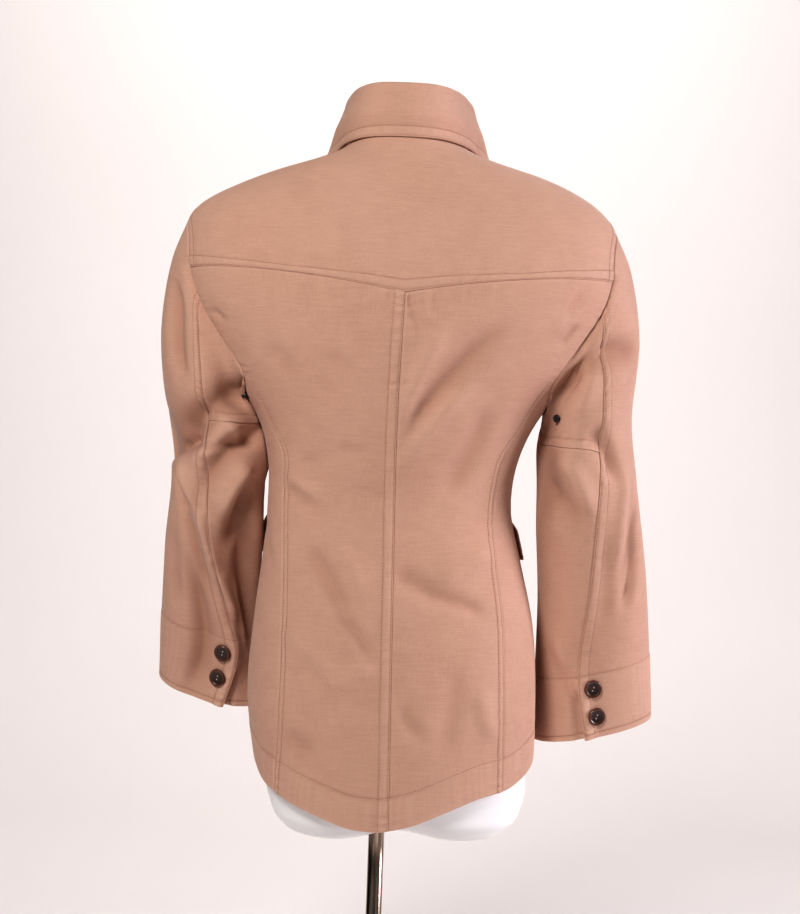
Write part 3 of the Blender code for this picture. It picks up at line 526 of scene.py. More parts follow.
# %% Sleeve rings
SEAM_GAP = 0.0003
SLEEVE_COLUMNS = "along outer outer_height inner inner_height depth half_depth lean seam"
SLEEVE_RINGS = {
    "left": (
        (0.12, 0.230, 0.862, 0.143, 0.704, -0.002, 0.055, 0.00, 0.196),
        (0.26, 0.238, 0.795, 0.136, 0.682, -0.001, 0.058, 0.02, 0.190),
        (0.40, 0.233, 0.725, 0.130, 0.652, -0.004, 0.057, 0.07, 0.185),
        (0.53, 0.224, 0.655, 0.128, 0.612, -0.012, 0.052, 0.14, 0.183),
        (0.69, 0.231, 0.575, 0.136, 0.552, -0.038, 0.046, 0.26, 0.174),
        (0.85, 0.236, 0.493, 0.136, 0.472, -0.068, 0.042, 0.32, 0.155),
        (1.00, 0.238, 0.431, 0.122, 0.408, -0.088, 0.040, 0.34, 0.166),
    ),
    "right": (
        (0.12, -0.239, 0.866, -0.152, 0.706, -0.002, 0.055, 0.00, -0.208),
        (0.26, -0.250, 0.795, -0.147, 0.684, -0.001, 0.058, 0.02, -0.210),
        (0.40, -0.245, 0.718, -0.149, 0.652, -0.002, 0.057, 0.05, -0.211),
        (0.53, -0.253, 0.655, -0.151, 0.610, -0.008, 0.053, 0.10, -0.210),
        (0.69, -0.267, 0.565, -0.157, 0.535, -0.020, 0.048, 0.14, -0.206),
        (0.85, -0.276, 0.477, -0.158, 0.455, -0.032, 0.044, 0.15, -0.199),
        (1.00, -0.281, 0.411, -0.159, 0.384, -0.040, 0.042, 0.15, -0.209),
    ),
}
FRONT_SEAM_ANGLE, SEAM_BLEND, FULL_AGREEMENT = 280.0, 0.30, 0.3
PATCH_SEAM_COLUMNS = "step left right"
PATCH_SEAM = (
    (8, 0.375, 0.425),
    (11, 0.275, 0.345),
    (14, 0.175, 0.245),
    (16, 0.160, 0.205),
    (19, 0.235, 0.270),
    (22, 0.360, 0.375),
)
PATCH_LINE = table(PATCH_SEAM_COLUMNS, PATCH_SEAM)
VENT_START, VENT_FULL = 0.87, 0.92
UNDERLAP, UNDERLAP_DEPTH = 0.5, 0.0085
STEP_WIDTH, SLEEVE_LENGTH, INNER_SLEEVE_LENGTH = 0.0125, 0.50, 0.15
SHOWN_GAP = 0.00004
STEP_GAP = SHOWN_GAP / 2.0 / STEP_WIDTH
ALONG_GAP = SHOWN_GAP / 2.0 / INNER_SLEEVE_LENGTH


def sleeve_rows(side, step):
    """The points of every ring at one step round the sleeve, the armhole first."""
    rings = table(SLEEVE_COLUMNS, SLEEVE_RINGS[side])
    rows = [body_point(*np.moveaxis(armhole(side, step), -1, 0), out=SEAM_GAP)]
    for ring in range(len(rings["along"])):
        row = {name: column[ring] for name, column in rings.items()}
        outer = np.array([row["outer"], row["depth"], row["outer_height"]])
        inner = np.array([row["inner"], row["depth"], row["inner_height"]])
        middle, reach = (outer + inner) / 2.0, (outer - inner) / 2.0
        back = row["half_depth"] * np.array([0.0, math.cos(row["lean"]), -math.sin(row["lean"])])
        seam_angle = math.degrees(math.acos((row["seam"] - middle[0]) / reach[0]))
        angle = np.radians(
            np.interp(
                np.mod(step - FRONT_SEAM_STEP, STEPS_ROUND) + FRONT_SEAM_STEP - STEPS_ROUND,
                (FRONT_SEAM_STEP - STEPS_ROUND, BACK_SEAM_STEP, FRONT_SEAM_STEP),
                (FRONT_SEAM_ANGLE - 360.0, seam_angle, FRONT_SEAM_ANGLE),
            )
        )
        rows.append(middle + reach * np.cos(angle)[..., None] + back * np.sin(angle)[..., None])
    return np.array([0.0, *rings["along"]]), np.array(rows)


def plain_sleeve(side, step, along):
    """A smooth line down the sleeve through its rings."""
    step, along = np.broadcast_arrays(np.asarray(step, float), np.asarray(along, float))
    flat_step, flat_along = step.ravel(), along.ravel()
    knots, rows = sleeve_rows(side, flat_step)
    slopes = np.gradient(rows, knots, axis=0)
    index, share, width = span(knots, flat_along)
    which = np.arange(len(flat_step))
    points = hermite(
        share[:, None],
        width[:, None],
        rows[index, which],
        rows[index + 1, which],
        slopes[index, which],
        slopes[index + 1, which],
    )
    return points.reshape(step.shape + (3,))


def sleeve_normal(side, step, along):
    """The way out of a sleeve, turned to the body's own way out at the armhole."""
    half_step, nudge = 0.3, 1e-3
    round_way = plain_sleeve(side, step + half_step, along) - plain_sleeve(side, step - half_step, along)
    low, high = np.maximum(along - nudge, 0.0), np.minimum(along + nudge, 1.0)
    down_way = plain_sleeve(side, step, high) - plain_sleeve(side, step, low)
    normal = -SIDES[side] * unit(np.cross(round_way, down_way))
    seam = np.moveaxis(armhole(side, step), -1, 0)
    body_normal = place_and_way(*seam)[1]
    agree = smooth_step(0.0, FULL_AGREEMENT, np.sum(normal * body_normal, axis=-1))
    share = agree * (1.0 - smooth_step(0.0, SEAM_BLEND, along))
    return unit(between(normal, body_normal, share))


def patch_seam(side, step):
    """How far down the sleeve the underarm patch ends."""
    return column_at(PATCH_LINE, side, step)


print("left cuff reaches", np.round(plain_sleeve("left", 4.0, 1.0), 3))

# %% [markdown]
# The collar is one piece of cloth: it stands up from the neck seam, rolls over and falls. Its profile
# changes round the neck, higher and closer at the sides, wider at the front ends. One profile swept round
# the neck would miss that, so the sizes of the profile are a table too.

# %% Collar profile
COLLAR_COLUMNS = "share stand drop flare"
COLLAR = (
    (0.00, 0.041, 0.050, 0.013),
    (0.25, 0.046, 0.0515, 0.018),
    (0.45, 0.056, 0.055, 0.018),
    (0.55, 0.053, 0.051, 0.020),
    (0.65, 0.048, 0.046, 0.022),
    (0.80, 0.040, 0.046, 0.023),
    (0.90, 0.037, 0.054, 0.023),
    (1.00, 0.034, 0.060, 0.023),
)
COLLAR_CUT = table(COLLAR_COLUMNS, COLLAR)
COLLAR_FOLD_RADIUS, COLLAR_LEAN = 0.0038, 0.005
COLLAR_FOLD_START, COLLAR_FALL_START, COLLAR_FALL_CURVE = 0.3, 0.6, 1.3
NECK_NUDGE = 0.01


def collar_point(share, profile, out=0.0):
    """A point of the collar: profile runs up the stand, over the fold and down the fall."""
    share, profile = np.broadcast_arrays(np.asarray(share, float), np.asarray(profile, float))

    def foot(at):
        angle, height = np.moveaxis(neck(at), -1, 0)
        return body_point(angle, height, np.where(at < 0, lap_rise(angle, height), 0.0))

    round_way = foot(share + NECK_NUDGE) - foot(share - NECK_NUDGE)
    round_way[..., 2] = 0.0
    outward = unit(np.cross(unit(round_way), np.array([0.0, 0.0, 1.0])))
    outward = outward * np.sign(np.sum(outward * (foot(share) * [1, 1, 0]), axis=-1, keepdims=True))
    size = {name: column_at(COLLAR_CUT, name, np.abs(share)) for name in COLLAR_CUT}
    wall_top = size["stand"] - COLLAR_FOLD_RADIUS
    in_stand = np.clip(profile / COLLAR_FOLD_START, 0.0, 1.0)
    in_fold = (profile - COLLAR_FOLD_START) / (COLLAR_FALL_START - COLLAR_FOLD_START)
    turn = np.pi * np.clip(in_fold, 0.0, 1.0)
    in_fall = np.clip((profile - COLLAR_FALL_START) / (1.0 - COLLAR_FALL_START), 0.0, 1.0)
    fold_middle = COLLAR_FOLD_RADIUS - COLLAR_LEAN
    spread = size["flare"] - fold_middle - COLLAR_FOLD_RADIUS
    radius = COLLAR_FOLD_RADIUS + np.asarray(out)
    reach = np.select(
        [profile < COLLAR_FOLD_START, profile <= COLLAR_FALL_START],
        [-COLLAR_LEAN * in_stand - out, fold_middle - radius * np.cos(turn)],
        fold_middle + radius + spread * in_fall**COLLAR_FALL_CURVE,
    )
    rise = np.select(
        [profile < COLLAR_FOLD_START, profile <= COLLAR_FALL_START],
        [wall_top * in_stand, wall_top + radius * np.sin(turn)],
        wall_top - size["drop"] * in_fall,
    )
    up = np.array([0.0, 0.0, 1.0])
    return foot(share) + outward * reach[..., None] + up * (rise + 2 * SEAM_GAP)[..., None]


print("collar top at the centre back", np.round(collar_point(0.0, 0.45), 3))

# %% [markdown]
# Creases come next. Cotton that has been worn and hung keeps soft drags between the places that hold it:
# from the yoke point, from the armholes, round the elbow. A simulation would put them where it likes, so
# each main one is placed one by one here, as a trough or a ridge along a bowed line with its own width and
# height. On the body a place is across and up in metres. On a sleeve it is steps round and a share of the
# length.

# %% Creases placed one by one
# Columns on the body: across and up from, across and up to, bow, half width, height.
BACK_CREASES = (
    (-0.051, 0.800, -0.010, 0.684, 0.006, 0.0088, 0.0052),
    (-0.104, 0.800, -0.010, 0.684, 0.004, 0.0114, -0.0070),
    (-0.078, 0.742, -0.010, 0.655, 0.004, 0.0097, 0.0052),
    (-0.098, 0.722, -0.052, 0.630, -0.004, 0.0106, -0.0058),
    (-0.014, 0.830, -0.025, 0.786, 0.002, 0.0030, -0.0022),
    (-0.026, 0.832, -0.040, 0.795, 0.002, 0.0035, 0.0017),
    (-0.037, 0.834, -0.035, 0.808, 0.000, 0.0030, -0.0020),
    (0.030, 0.838, 0.036, 0.800, 0.000, 0.0044, -0.0014),
    (0.082, 0.846, 0.090, 0.812, 0.000, 0.0044, -0.0014),
    (0.101, 0.650, 0.062, 0.627, 0.002, 0.0053, 0.0031),
    (0.104, 0.637, 0.066, 0.612, 0.002, 0.0062, -0.0025),
    (0.084, 0.582, 0.036, 0.510, -0.006, 0.0084, -0.0048),
    (0.042, 0.516, 0.010, 0.474, -0.003, 0.0062, -0.0042),
    (0.060, 0.590, 0.018, 0.530, -0.004, 0.0097, 0.0028),
    (-0.008, 0.557, -0.056, 0.532, -0.003, 0.0097, -0.0050),
    (-0.048, 0.535, -0.099, 0.520, -0.002, 0.0062, -0.0045),
    (-0.047, 0.548, -0.106, 0.586, 0.004, 0.0114, 0.0045),
    (0.100, 0.495, 0.040, 0.446, -0.006, 0.0106, 0.0042),
    (0.048, 0.440, 0.006, 0.466, -0.004, 0.0088, 0.0034),
    (0.092, 0.398, 0.062, 0.376, 0.002, 0.0106, -0.0036),
    (-0.020, 0.428, -0.042, 0.398, 0.002, 0.0070, -0.0031),
    (-0.098, 0.450, -0.112, 0.396, 0.003, 0.0088, 0.0036),
    (-0.070, 0.470, -0.060, 0.380, -0.004, 0.0123, -0.0028),
    (0.165, 0.796, 0.182, 0.810, 0.000, 0.0032, -0.0022),
    (-0.184, 0.838, -0.168, 0.804, 0.002, 0.0039, -0.0031),
    (-0.181, 0.806, -0.163, 0.784, 0.000, 0.0039, -0.0028),
    (-0.174, 0.822, -0.157, 0.794, 0.000, 0.0044, 0.0020),
    (0.122, 0.774, 0.096, 0.746, 0.000, 0.0097, -0.0022),
    (0.062, 0.770, 0.036, 0.746, 0.000, 0.0079, -0.0020),
    (0.090, 0.662, 0.066, 0.664, 0.000, 0.0053, -0.0020),
    (0.052, 0.676, 0.024, 0.673, 0.000, 0.0053, -0.0020),
    (0.030, 0.640, 0.000, 0.628, 0.000, 0.0053, -0.0014),
    (0.071, 0.570, 0.023, 0.585, -0.003, 0.0030, -0.0012),
    (0.093, 0.548, 0.066, 0.556, -0.001, 0.0030, -0.0012),
    (-0.007, 0.601, -0.042, 0.601, 0.001, 0.0026, -0.0010),
    (0.124, 0.607, 0.113, 0.555, 0.001, 0.0032, -0.0014),
    (0.063, 0.692, 0.062, 0.668, 0.000, 0.0020, 0.0009),
)
FRONT_CREASES = (
    (0.110, 0.720, 0.060, 0.770, 0.006, 0.0099, -0.0034),
    (-0.112, 0.722, -0.050, 0.780, -0.006, 0.0108, -0.0036),
    (0.100, 0.660, 0.030, 0.690, 0.003, 0.0081, 0.0029),
    (-0.104, 0.650, -0.034, 0.668, 0.003, 0.0081, 0.0026),
    (0.094, 0.616, 0.028, 0.626, 0.002, 0.0072, -0.0029),
    (-0.090, 0.628, -0.026, 0.640, 0.002, 0.0063, -0.0026),
    (0.050, 0.540, 0.066, 0.400, 0.006, 0.0117, -0.0031),
    (-0.046, 0.520, -0.070, 0.396, 0.006, 0.0126, -0.0034),
    (0.130, 0.850, 0.092, 0.800, 0.004, 0.0090, -0.0029),
    (-0.136, 0.846, -0.096, 0.806, 0.004, 0.0081, -0.0026),
    (0.080, 0.905, 0.120, 0.870, 0.002, 0.0072, 0.0021),
)
# Columns on a sleeve: step and share from, step and share to, bow, half width, height.
SLEEVE_CREASES = {
    "left": (
        (15.0, -0.062, 7.2, 0.415, 0.000, 0.0100, -0.0120),
        (8.8, 0.32, 4.6, 0.485, 0.000, 0.0123, -0.0135),
        (2.6, 0.505, 6.2, 0.462, 0.000, 0.0070, -0.0081),
        (11.4, 0.275, 7.4, 0.470, 0.000, 0.0097, 0.0081),
        (14.8, 0.170, 6.6, 0.580, 0.000, 0.0100, -0.0105),
        (12.2, 0.400, 9.0, 0.585, 0.000, 0.0088, 0.0088),
        (13.4, 0.470, 9.2, 0.650, 0.000, 0.0106, -0.0108),
        (4.2, 0.510, 7.1, 0.585, -0.004, 0.0088, 0.0081),
        (6.8, 0.570, 8.1, 0.700, -0.003, 0.0088, 0.0081),
        (8.0, 0.680, 9.0, 0.800, -0.002, 0.0079, 0.0061),
        (3.2, 0.530, 5.4, 0.600, -0.004, 0.0070, -0.0074),
        (5.2, 0.590, 7.0, 0.750, -0.004, 0.0066, -0.0074),
        (4.7, 0.130, 5.6, 0.320, 0.000, 0.0130, -0.0090),
        (5.6, 0.680, 5.3, 1.000, 0.000, 0.0115, -0.0120),
        (7.9, 0.780, 7.9, 1.060, 0.000, 0.0095, 0.0080),
        (12.8, 0.420, 10.8, 0.860, 0.000, 0.0240, -0.0130),
        (15.2, 0.000, 15.0, 0.450, 0.000, 0.0220, 0.0120),
        (13.8, 0.500, 13.6, 0.980, 0.000, 0.0170, 0.0090),
        (3.6, 0.640, 3.2, 0.800, 0.000, 0.0106, -0.0041),
        (10.6, 0.700, 9.8, 0.850, 0.000, 0.0079, 0.0041),
        (19.0, 0.380, 24.0, 0.520, 0.004, 0.0106, -0.0081),
        (18.0, 0.470, 23.0, 0.590, 0.004, 0.0097, 0.0068),
        (17.0, 0.560, 22.5, 0.660, 0.004, 0.0106, -0.0081),
        (26.0, 0.300, 23.0, 0.430, 0.000, 0.0123, -0.0054),
    ),
    "right": (
        (12.8, 0.050, 9.2, 0.180, 0.000, 0.0115, -0.0100),
        (7.9, 0.840, 7.9, 1.080, 0.000, 0.0080, 0.0060),
        (9.8, 0.160, 3.0, 0.295, 0.000, 0.0106, -0.0105),
        (9.2, 0.185, 9.5, 0.290, 0.000, 0.0114, 0.0061),
        (13.9, 0.100, 13.1, 0.560, 0.000, 0.0230, -0.0095),
        (11.6, 0.365, 8.5, 0.555, 0.002, 0.0088, 0.0075),
        (9.3, 0.340, 5.8, 0.510, 0.000, 0.0088, -0.0085),
        (4.9, 0.480, 5.8, 0.680, 0.000, 0.0079, 0.0049),
        (3.4, 0.600, 4.9, 0.750, 0.002, 0.0079, -0.0074),
        (13.4, 0.410, 8.8, 0.585, 0.000, 0.0114, -0.0054),
        (10.6, 0.775, 8.7, 0.845, 0.000, 0.0070, 0.0038),
        (7.0, 0.580, 6.4, 0.780, 0.000, 0.0097, -0.0027),
        (18.5, 0.300, 23.5, 0.420, 0.003, 0.0114, -0.0061),
        (18.0, 0.480, 23.0, 0.600, 0.003, 0.0106, -0.0068),
        (17.5, 0.390, 22.5, 0.510, 0.003, 0.0106, 0.0054),
        (26.0, 0.360, 22.0, 0.620, 0.000, 0.0123, 0.0041),
    ),
}
# Columns of the folds that hang over: the same ends, then the width above, the width below, height.
SLEEVE_OVERHANGS = {
    "left": (
        (-0.6, 0.540, 8.8, 0.425, 0.034, 0.0045, -0.0125),
        (7.8, 0.440, 11.6, 0.330, 0.020, 0.0060, -0.0060),
    ),
    "right": ((3.0, 0.560, 5.4, 0.700, 0.020, 0.0050, -0.0040),),
}
CREASE_ENDS = (-0.10, 0.30)
SIDE_FADE = (-0.25, 0.15)
HEAD_DIP, HEAD_DIP_REACH, HEAD_CALM = 0.0026, 0.05, 0.05
HEAD_DIP_STARTS, HEAD_DIP_ENDS = (4.0, 7.0), (10.5, 12.5)


def along_line(ends, across, up):
    """The share run along a line, how far aside of it a place is and how far beyond its ends."""
    way = np.array([ends[2] - ends[0], ends[3] - ends[1]])
    length = float(np.hypot(*way))
    way = way / length
    offset_across, offset_up = across - ends[0], up - ends[1]
    along = offset_across * way[0] + offset_up * way[1]
    aside = offset_up * way[0] - offset_across * way[1]
    beyond = np.maximum(np.maximum(-along, along - length), 0.0)
    share = np.clip(along / length, 0.0, 1.0)
    fade = smooth_step(*CREASE_ENDS, share) * smooth_step(*CREASE_ENDS, 1.0 - share)
    return share, aside, beyond, fade


def crease_relief(rows, across, up):
    """How far the cloth stands out or in at all the creases of a table."""
    total = np.zeros_like(across)
    for *ends, bow, half_width, height in rows:
        share, aside, beyond, fade = along_line(ends, across, up)
        distance = np.hypot(aside - 4.0 * bow * share * (1.0 - share), beyond)
        total += height * fade * np.exp(-((distance / half_width) ** 2))
    return total


def overhang_relief(rows, across, down):
    """Folds that hang over: the cloth draws in slowly from above and comes out at once below."""
    total = np.zeros_like(across)
    for *ends, above, below, height in rows:
        share, aside, beyond, fade = along_line(ends, across, down)
        distance = np.hypot(aside / np.where(aside < 0.0, above, below), beyond / below)
        total += height * fade * np.exp(-(distance**2))
    return total


def body_creases(points, angle):
    """The creases of the back and the front, each fading out at the sides."""
    behind = smooth_step(*SIDE_FADE, np.cos(angle))
    back = crease_relief(BACK_CREASES, points[..., 0], points[..., 2])
    front = crease_relief(FRONT_CREASES, points[..., 0], points[..., 2])
    return back * behind + front * (1.0 - behind)


def sleeve_creases(side, step, along):
    """The creases of a sleeve, counted in metres round and down it."""
    scale = (STEP_WIDTH, SLEEVE_LENGTH, STEP_WIDTH, SLEEVE_LENGTH, 1.0, 1.0, 1.0)
    rows = np.array(SLEEVE_CREASES[side]) * scale
    wrapped = np.mod(step, STEPS_ROUND) * STEP_WIDTH
    relief = crease_relief(rows, wrapped, along * SLEEVE_LENGTH)
    overhangs = np.array(SLEEVE_OVERHANGS[side]) * scale
    relief = relief + overhang_relief(overhangs, wrapped, along * SLEEVE_LENGTH)
    behind = smooth_step(*HEAD_DIP_STARTS, step) * (1.0 - smooth_step(*HEAD_DIP_ENDS, step))
    dip = HEAD_DIP * behind * np.exp(-((along / HEAD_DIP_REACH) ** 2))
    return relief * smooth_step(0.0, HEAD_CALM, along) - dip


print("creases on the back", len(BACK_CREASES), "left sleeve", len(SLEEVE_CREASES["left"]))

# %% [markdown]
# A seam in a cotton jacket is a band: the allowance is folded under and stitched down, so the cloth
# stands a little higher beside the seam, dips at every row of stitches and ripples along it where the
# thread has drawn up. The ripples fade out at the edge itself, so that two panels still meet in a clean
# line. One small record holds those sizes for each edge of a panel. The relief could be a bump in the
# material, but in geometry it also shows from the side.

# %% Edges and seams of a panel
@dataclass
class Edge:
    """How one edge of a panel is sewn: sizes in metres."""

    band: float = 0.0
    rise: float = 0.0
    groove: float = 0.0009
    pucker: float = 0.0003
    reach: float = 0.010
    stitches: tuple = ()
    until: float = 1.0


PLAIN_SEAM = Edge()
CENTRE_BACK_FELL = Edge(band=0.0115, rise=0.0009, groove=0.0006, pucker=0.0010, stitches=(0.0013, 0.0103))
CENTRE_BACK_UNDER = Edge(groove=0.0010, pucker=0.0006, reach=0.012)
PRINCESS_FELL = Edge(
    band=0.0078, rise=0.0007, groove=0.0006, pucker=0.0008, stitches=(0.0013, 0.0068), until=PRINCESS_SHARE
)
YOKE_FELL = Edge(band=0.0132, rise=0.0006, groove=0.0002, pucker=0.0005, stitches=(0.0014, 0.0118))
YOKE_UNDER = Edge(groove=0.0005, pucker=0.0008, reach=0.014)
ARMHOLE_FELL = Edge(band=0.0108, rise=0.0005, groove=0.0007, pucker=0.0003, stitches=(0.0014, 0.0096))
SLEEVE_FELL = Edge(band=0.0116, rise=0.0009, groove=0.0004, pucker=0.0011, stitches=(0.0013, 0.0106))
SLEEVE_HEAD = Edge(groove=0.0016, pucker=0.0004, reach=0.012)
PATCH_CROSS = Edge(band=0.0100, rise=0.0003, groove=0.0001, pucker=0.0005, stitches=(0.0090,))
CUFF_EDGE = {
    "left": Edge(band=0.0770, rise=0.0005, groove=0.0002, pucker=0.0003, stitches=(0.0055, 0.0760)),
    "right": Edge(band=0.0670, rise=0.0005, groove=0.0002, pucker=0.0003, stitches=(0.0055, 0.0660)),
}
HEM_FOLD = Edge(band=0.0340, rise=0.0005, groove=0.0002, pucker=0.0004, stitches=(0.0330,))
COLLAR_FALL_EDGE = Edge(band=0.0118, rise=0.0004, groove=0.0002, pucker=0.0002, stitches=(0.0014, 0.0104))
FRONT_EDGE = Edge(band=0.0080, rise=0.0004, groove=0.0002, pucker=0.0002, stitches=(0.0064,))
POCKET_EDGE = Edge(band=0.0070, rise=0.0003, groove=0.0002, pucker=0.0003, stitches=(0.0016, 0.0060))
EDGE_NAMES = ("start", "end", "foot", "head")
GROOVE_WIDTH, DENT_WIDTH, STITCH_DENT, CALM_WIDTH = 0.0012, 0.0010, 0.00075, 0.0030
RIPPLE_LENGTH, RIPPLE_DRIFT, RIPPLE_SWELL = 0.0098, 0.047, 0.083
DRIFT_SHARE, SWELL_MIDDLE, SWELL_SWING = 0.35, 0.60, 0.40
BAND_FROM, BAND_TO, WEAR_WIDTH = -0.0012, 0.0006, 0.0022
# EDGE_WEAR is real wear at the edge; BAND_HIGHLIGHT is painted highlight on the crests of the band's
# ripples; DENT_SHADE and DENT_SWING set the painted shade in the stitch dents.
EDGE_WEAR, BAND_HIGHLIGHT, DENT_SHADE, DENT_SWING = 0.5, 0.6, 0.7, 0.3
NEAR_SHARE = 0.35


def from_edge(grid, name):
    """The same grid seen so that its second axis runs away from the named edge."""
    turned = grid if name in ("start", "end") else np.swapaxes(grid, 0, 1)
    return turned if name in ("start", "foot") else turned[:, ::-1]


def run_length(points, axis):
    """The length run along each grid line, from its first point."""
    steps = np.linalg.norm(np.diff(points, axis=axis), axis=-1)
    first = np.zeros_like(np.take(steps, [0], axis=axis))
    return np.concatenate([first, np.cumsum(steps, axis=axis)], axis=axis)


def ripple(along):
    """An uneven wave along a seam, where the thread draws the cloth up."""
    drift = DRIFT_SHARE * np.sin(2 * np.pi * along / RIPPLE_DRIFT)
    swell = SWELL_MIDDLE + SWELL_SWING * np.sin(2 * np.pi * along / RIPPLE_SWELL + 1.0)
    return swell * np.sin(2 * np.pi * (along / RIPPLE_LENGTH + drift))


def edge_relief(edge, distance, along, sewn):
    """How far the cloth stands out beside one edge, its wear with painted highlight, and painted shade in
    its stitch dents.
    """
    past_band = smooth_step(edge.band + BAND_FROM, edge.band + BAND_TO, distance)
    band = edge.rise * (1.0 - past_band) * sewn
    groove = -edge.groove * np.exp(-((distance / GROOVE_WIDTH) ** 2))
    calm = 1.0 - np.exp(-((distance / CALM_WIDTH) ** 2))
    gathers = edge.pucker * ripple(along) * calm * np.exp(-((distance / edge.reach) ** 2))
    dents = sum(np.exp(-(((distance - row) / DENT_WIDTH) ** 2)) for row in edge.stitches) * sewn
    crests = 0.5 + 0.5 * ripple(along)
    edge_wear = EDGE_WEAR * np.exp(-((distance / WEAR_WIDTH) ** 2))
    # Real wear at the edge, plus painted highlight on the ripple crests of the band.
    wear = edge_wear + BAND_HIGHLIGHT * crests * (distance < edge.band) * sewn
    # Painted shade in the stitch dents, varying along the seam with the ripple.
    sunk = dents * (DENT_SHADE + DENT_SWING * ripple(along))
    return band + groove + gathers - STITCH_DENT * dents, wear, sunk


def shares(length, near_start, near_end, fine, coarse):
    """Shares of a length, spaced finely near both ends and coarsely between."""
    near_start, near_end = min(near_start, length * NEAR_SHARE), min(near_end, length * NEAR_SHARE)
    counts = [
        max(2, round(near_start / fine)),
        max(2, round((length - near_start - near_end) / coarse)),
        max(2, round(near_end / fine)),
    ]
    ends = np.array([0.0, near_start, length - near_end, length]) / length
    parts = [np.linspace(ends[i], ends[i + 1], counts[i], endpoint=False) for i in range(3)]
    return np.concatenate([*parts, [1.0]])


print("ripples from", round(float(ripple(np.linspace(0, 0.3, 900)).min()), 2), "to 1.0")

# %% [markdown]
# Materials are written as sums. The small class below holds one socket of a shader, and plain Python
# operators on it add the Math nodes. Colours go through Mix nodes, because a Math node would turn a
# colour grey.

# %% Shader sums
class Wire:
    """A shader socket that Python operators can work on."""

    def __init__(self, tree, socket):
        self.tree = tree
        self.socket = socket

    def node(self, kind, settings=None, inputs=None, output=0):
        """Adds a node of this type with its settings, then sets or links its inputs."""
        made = self.tree.nodes.new(kind)
        for name, value in (settings or {}).items():
            if name == "stops":
                for stop, (position, shade) in zip(made.color_ramp.elements, value):
                    stop.position = position
                    stop.color = (shade, shade, shade, 1.0)
            else:
                setattr(made, name, value)
        for name, value in (inputs or {}).items():
            if isinstance(value, Wire):
                self.tree.links.new(value.socket, made.inputs[name])
            else:
                made.inputs[name].default_value = value
        return Wire(self.tree, made.outputs[output])

    def sum(self, operation, first, second):
        return self.node("ShaderNodeMath", {"operation": operation}, {0: first, 1: second})

    def __add__(self, other):
        return self.sum("ADD", self, other)

    def __radd__(self, other):
        return self.sum("ADD", other, self)

    def __sub__(self, other):
        return self.sum("SUBTRACT", self, other)

    def __rsub__(self, other):
        return self.sum("SUBTRACT", other, self)

    def __mul__(self, other):
        return self.sum("MULTIPLY", self, other)

    def __rmul__(self, other):
        return self.sum("MULTIPLY", other, self)

    def blend(self, low, high):
        """Goes from one colour to another as this value goes from 0 to 1."""
        return self.node(
            "ShaderNodeMix", {"data_type": "RGBA"}, {"Factor": self, 6: low, 7: high}, output=2
        )


def new_material(name, **sockets):
    """A material with its constant values set, and a Wire to build the rest from."""
    made = bpy.data.materials.new(name)
    made.use_nodes = True
    tree = made.node_tree
    shader = tree.nodes["Principled BSDF"]
    for socket, value in sockets.items():
        shader.inputs[socket.replace("_", " ")].default_value = value
    places = tree.nodes.new("ShaderNodeTexCoord")
    return made, shader, Wire(tree, places.outputs["Object"])


def feed(shader, **wires):
    for socket, wire in wires.items():
        wire.tree.links.new(wire.socket, shader.inputs[socket.replace("_", " ")])


def noise(place, scale, stretch=(1.0, 1.0, 1.0), detail=3.0, roughness=0.55):
    """Soft noise with a number of waves to the metre, stretched along the axes."""
    scaled = place.node(
        "ShaderNodeMapping", None, {"Vector": place, "Scale": tuple(scale * part for part in stretch)}
    )
    return place.node(
        "ShaderNodeTexNoise",
        {"noise_dimensions": "3D"},
        {"Vector": scaled, "Scale": 1.0, "Detail": detail, "Roughness": roughness},
    )


def spread(value, low, high):
    """The value stretched so that low becomes 0 and high becomes 1."""
    return value.node("ShaderNodeMapRange", None, {"Value": value, "From Min": low, "From Max": high})


def mark(place, name):
    """A mark that a panel's mesh carries on its points."""
    return place.node("ShaderNodeAttribute", {"attribute_name": name}, output=2)


def bump(place, height, distance, strength):
    return place.node(
        "ShaderNodeBump", None, {"Height": height, "Distance": distance, "Strength": strength}
    )


print("shader sums ready")

# %% [markdown]
# The cloth is a plain matte cotton in dusty rose-tan. Close up it has fine level slubs, thicker weft
# threads that catch the light, and the colour has faded a little in soft patches and along the seams.
# Shade is painted into the colour inside the folds and in the stitch dents, and highlight is painted
# paler on the fold crests and on the ripples of the seam bands. The slubs are noise drawn out sideways,
# so they need no picture and no seams in the pattern. Each panel's mesh carries the painted fold shade,
# the wear with its painted highlight and the painted stitch shade as marks on its points.

# %% Cloth
def colour(red, green, blue):
    return (red, green, blue, 1.0)


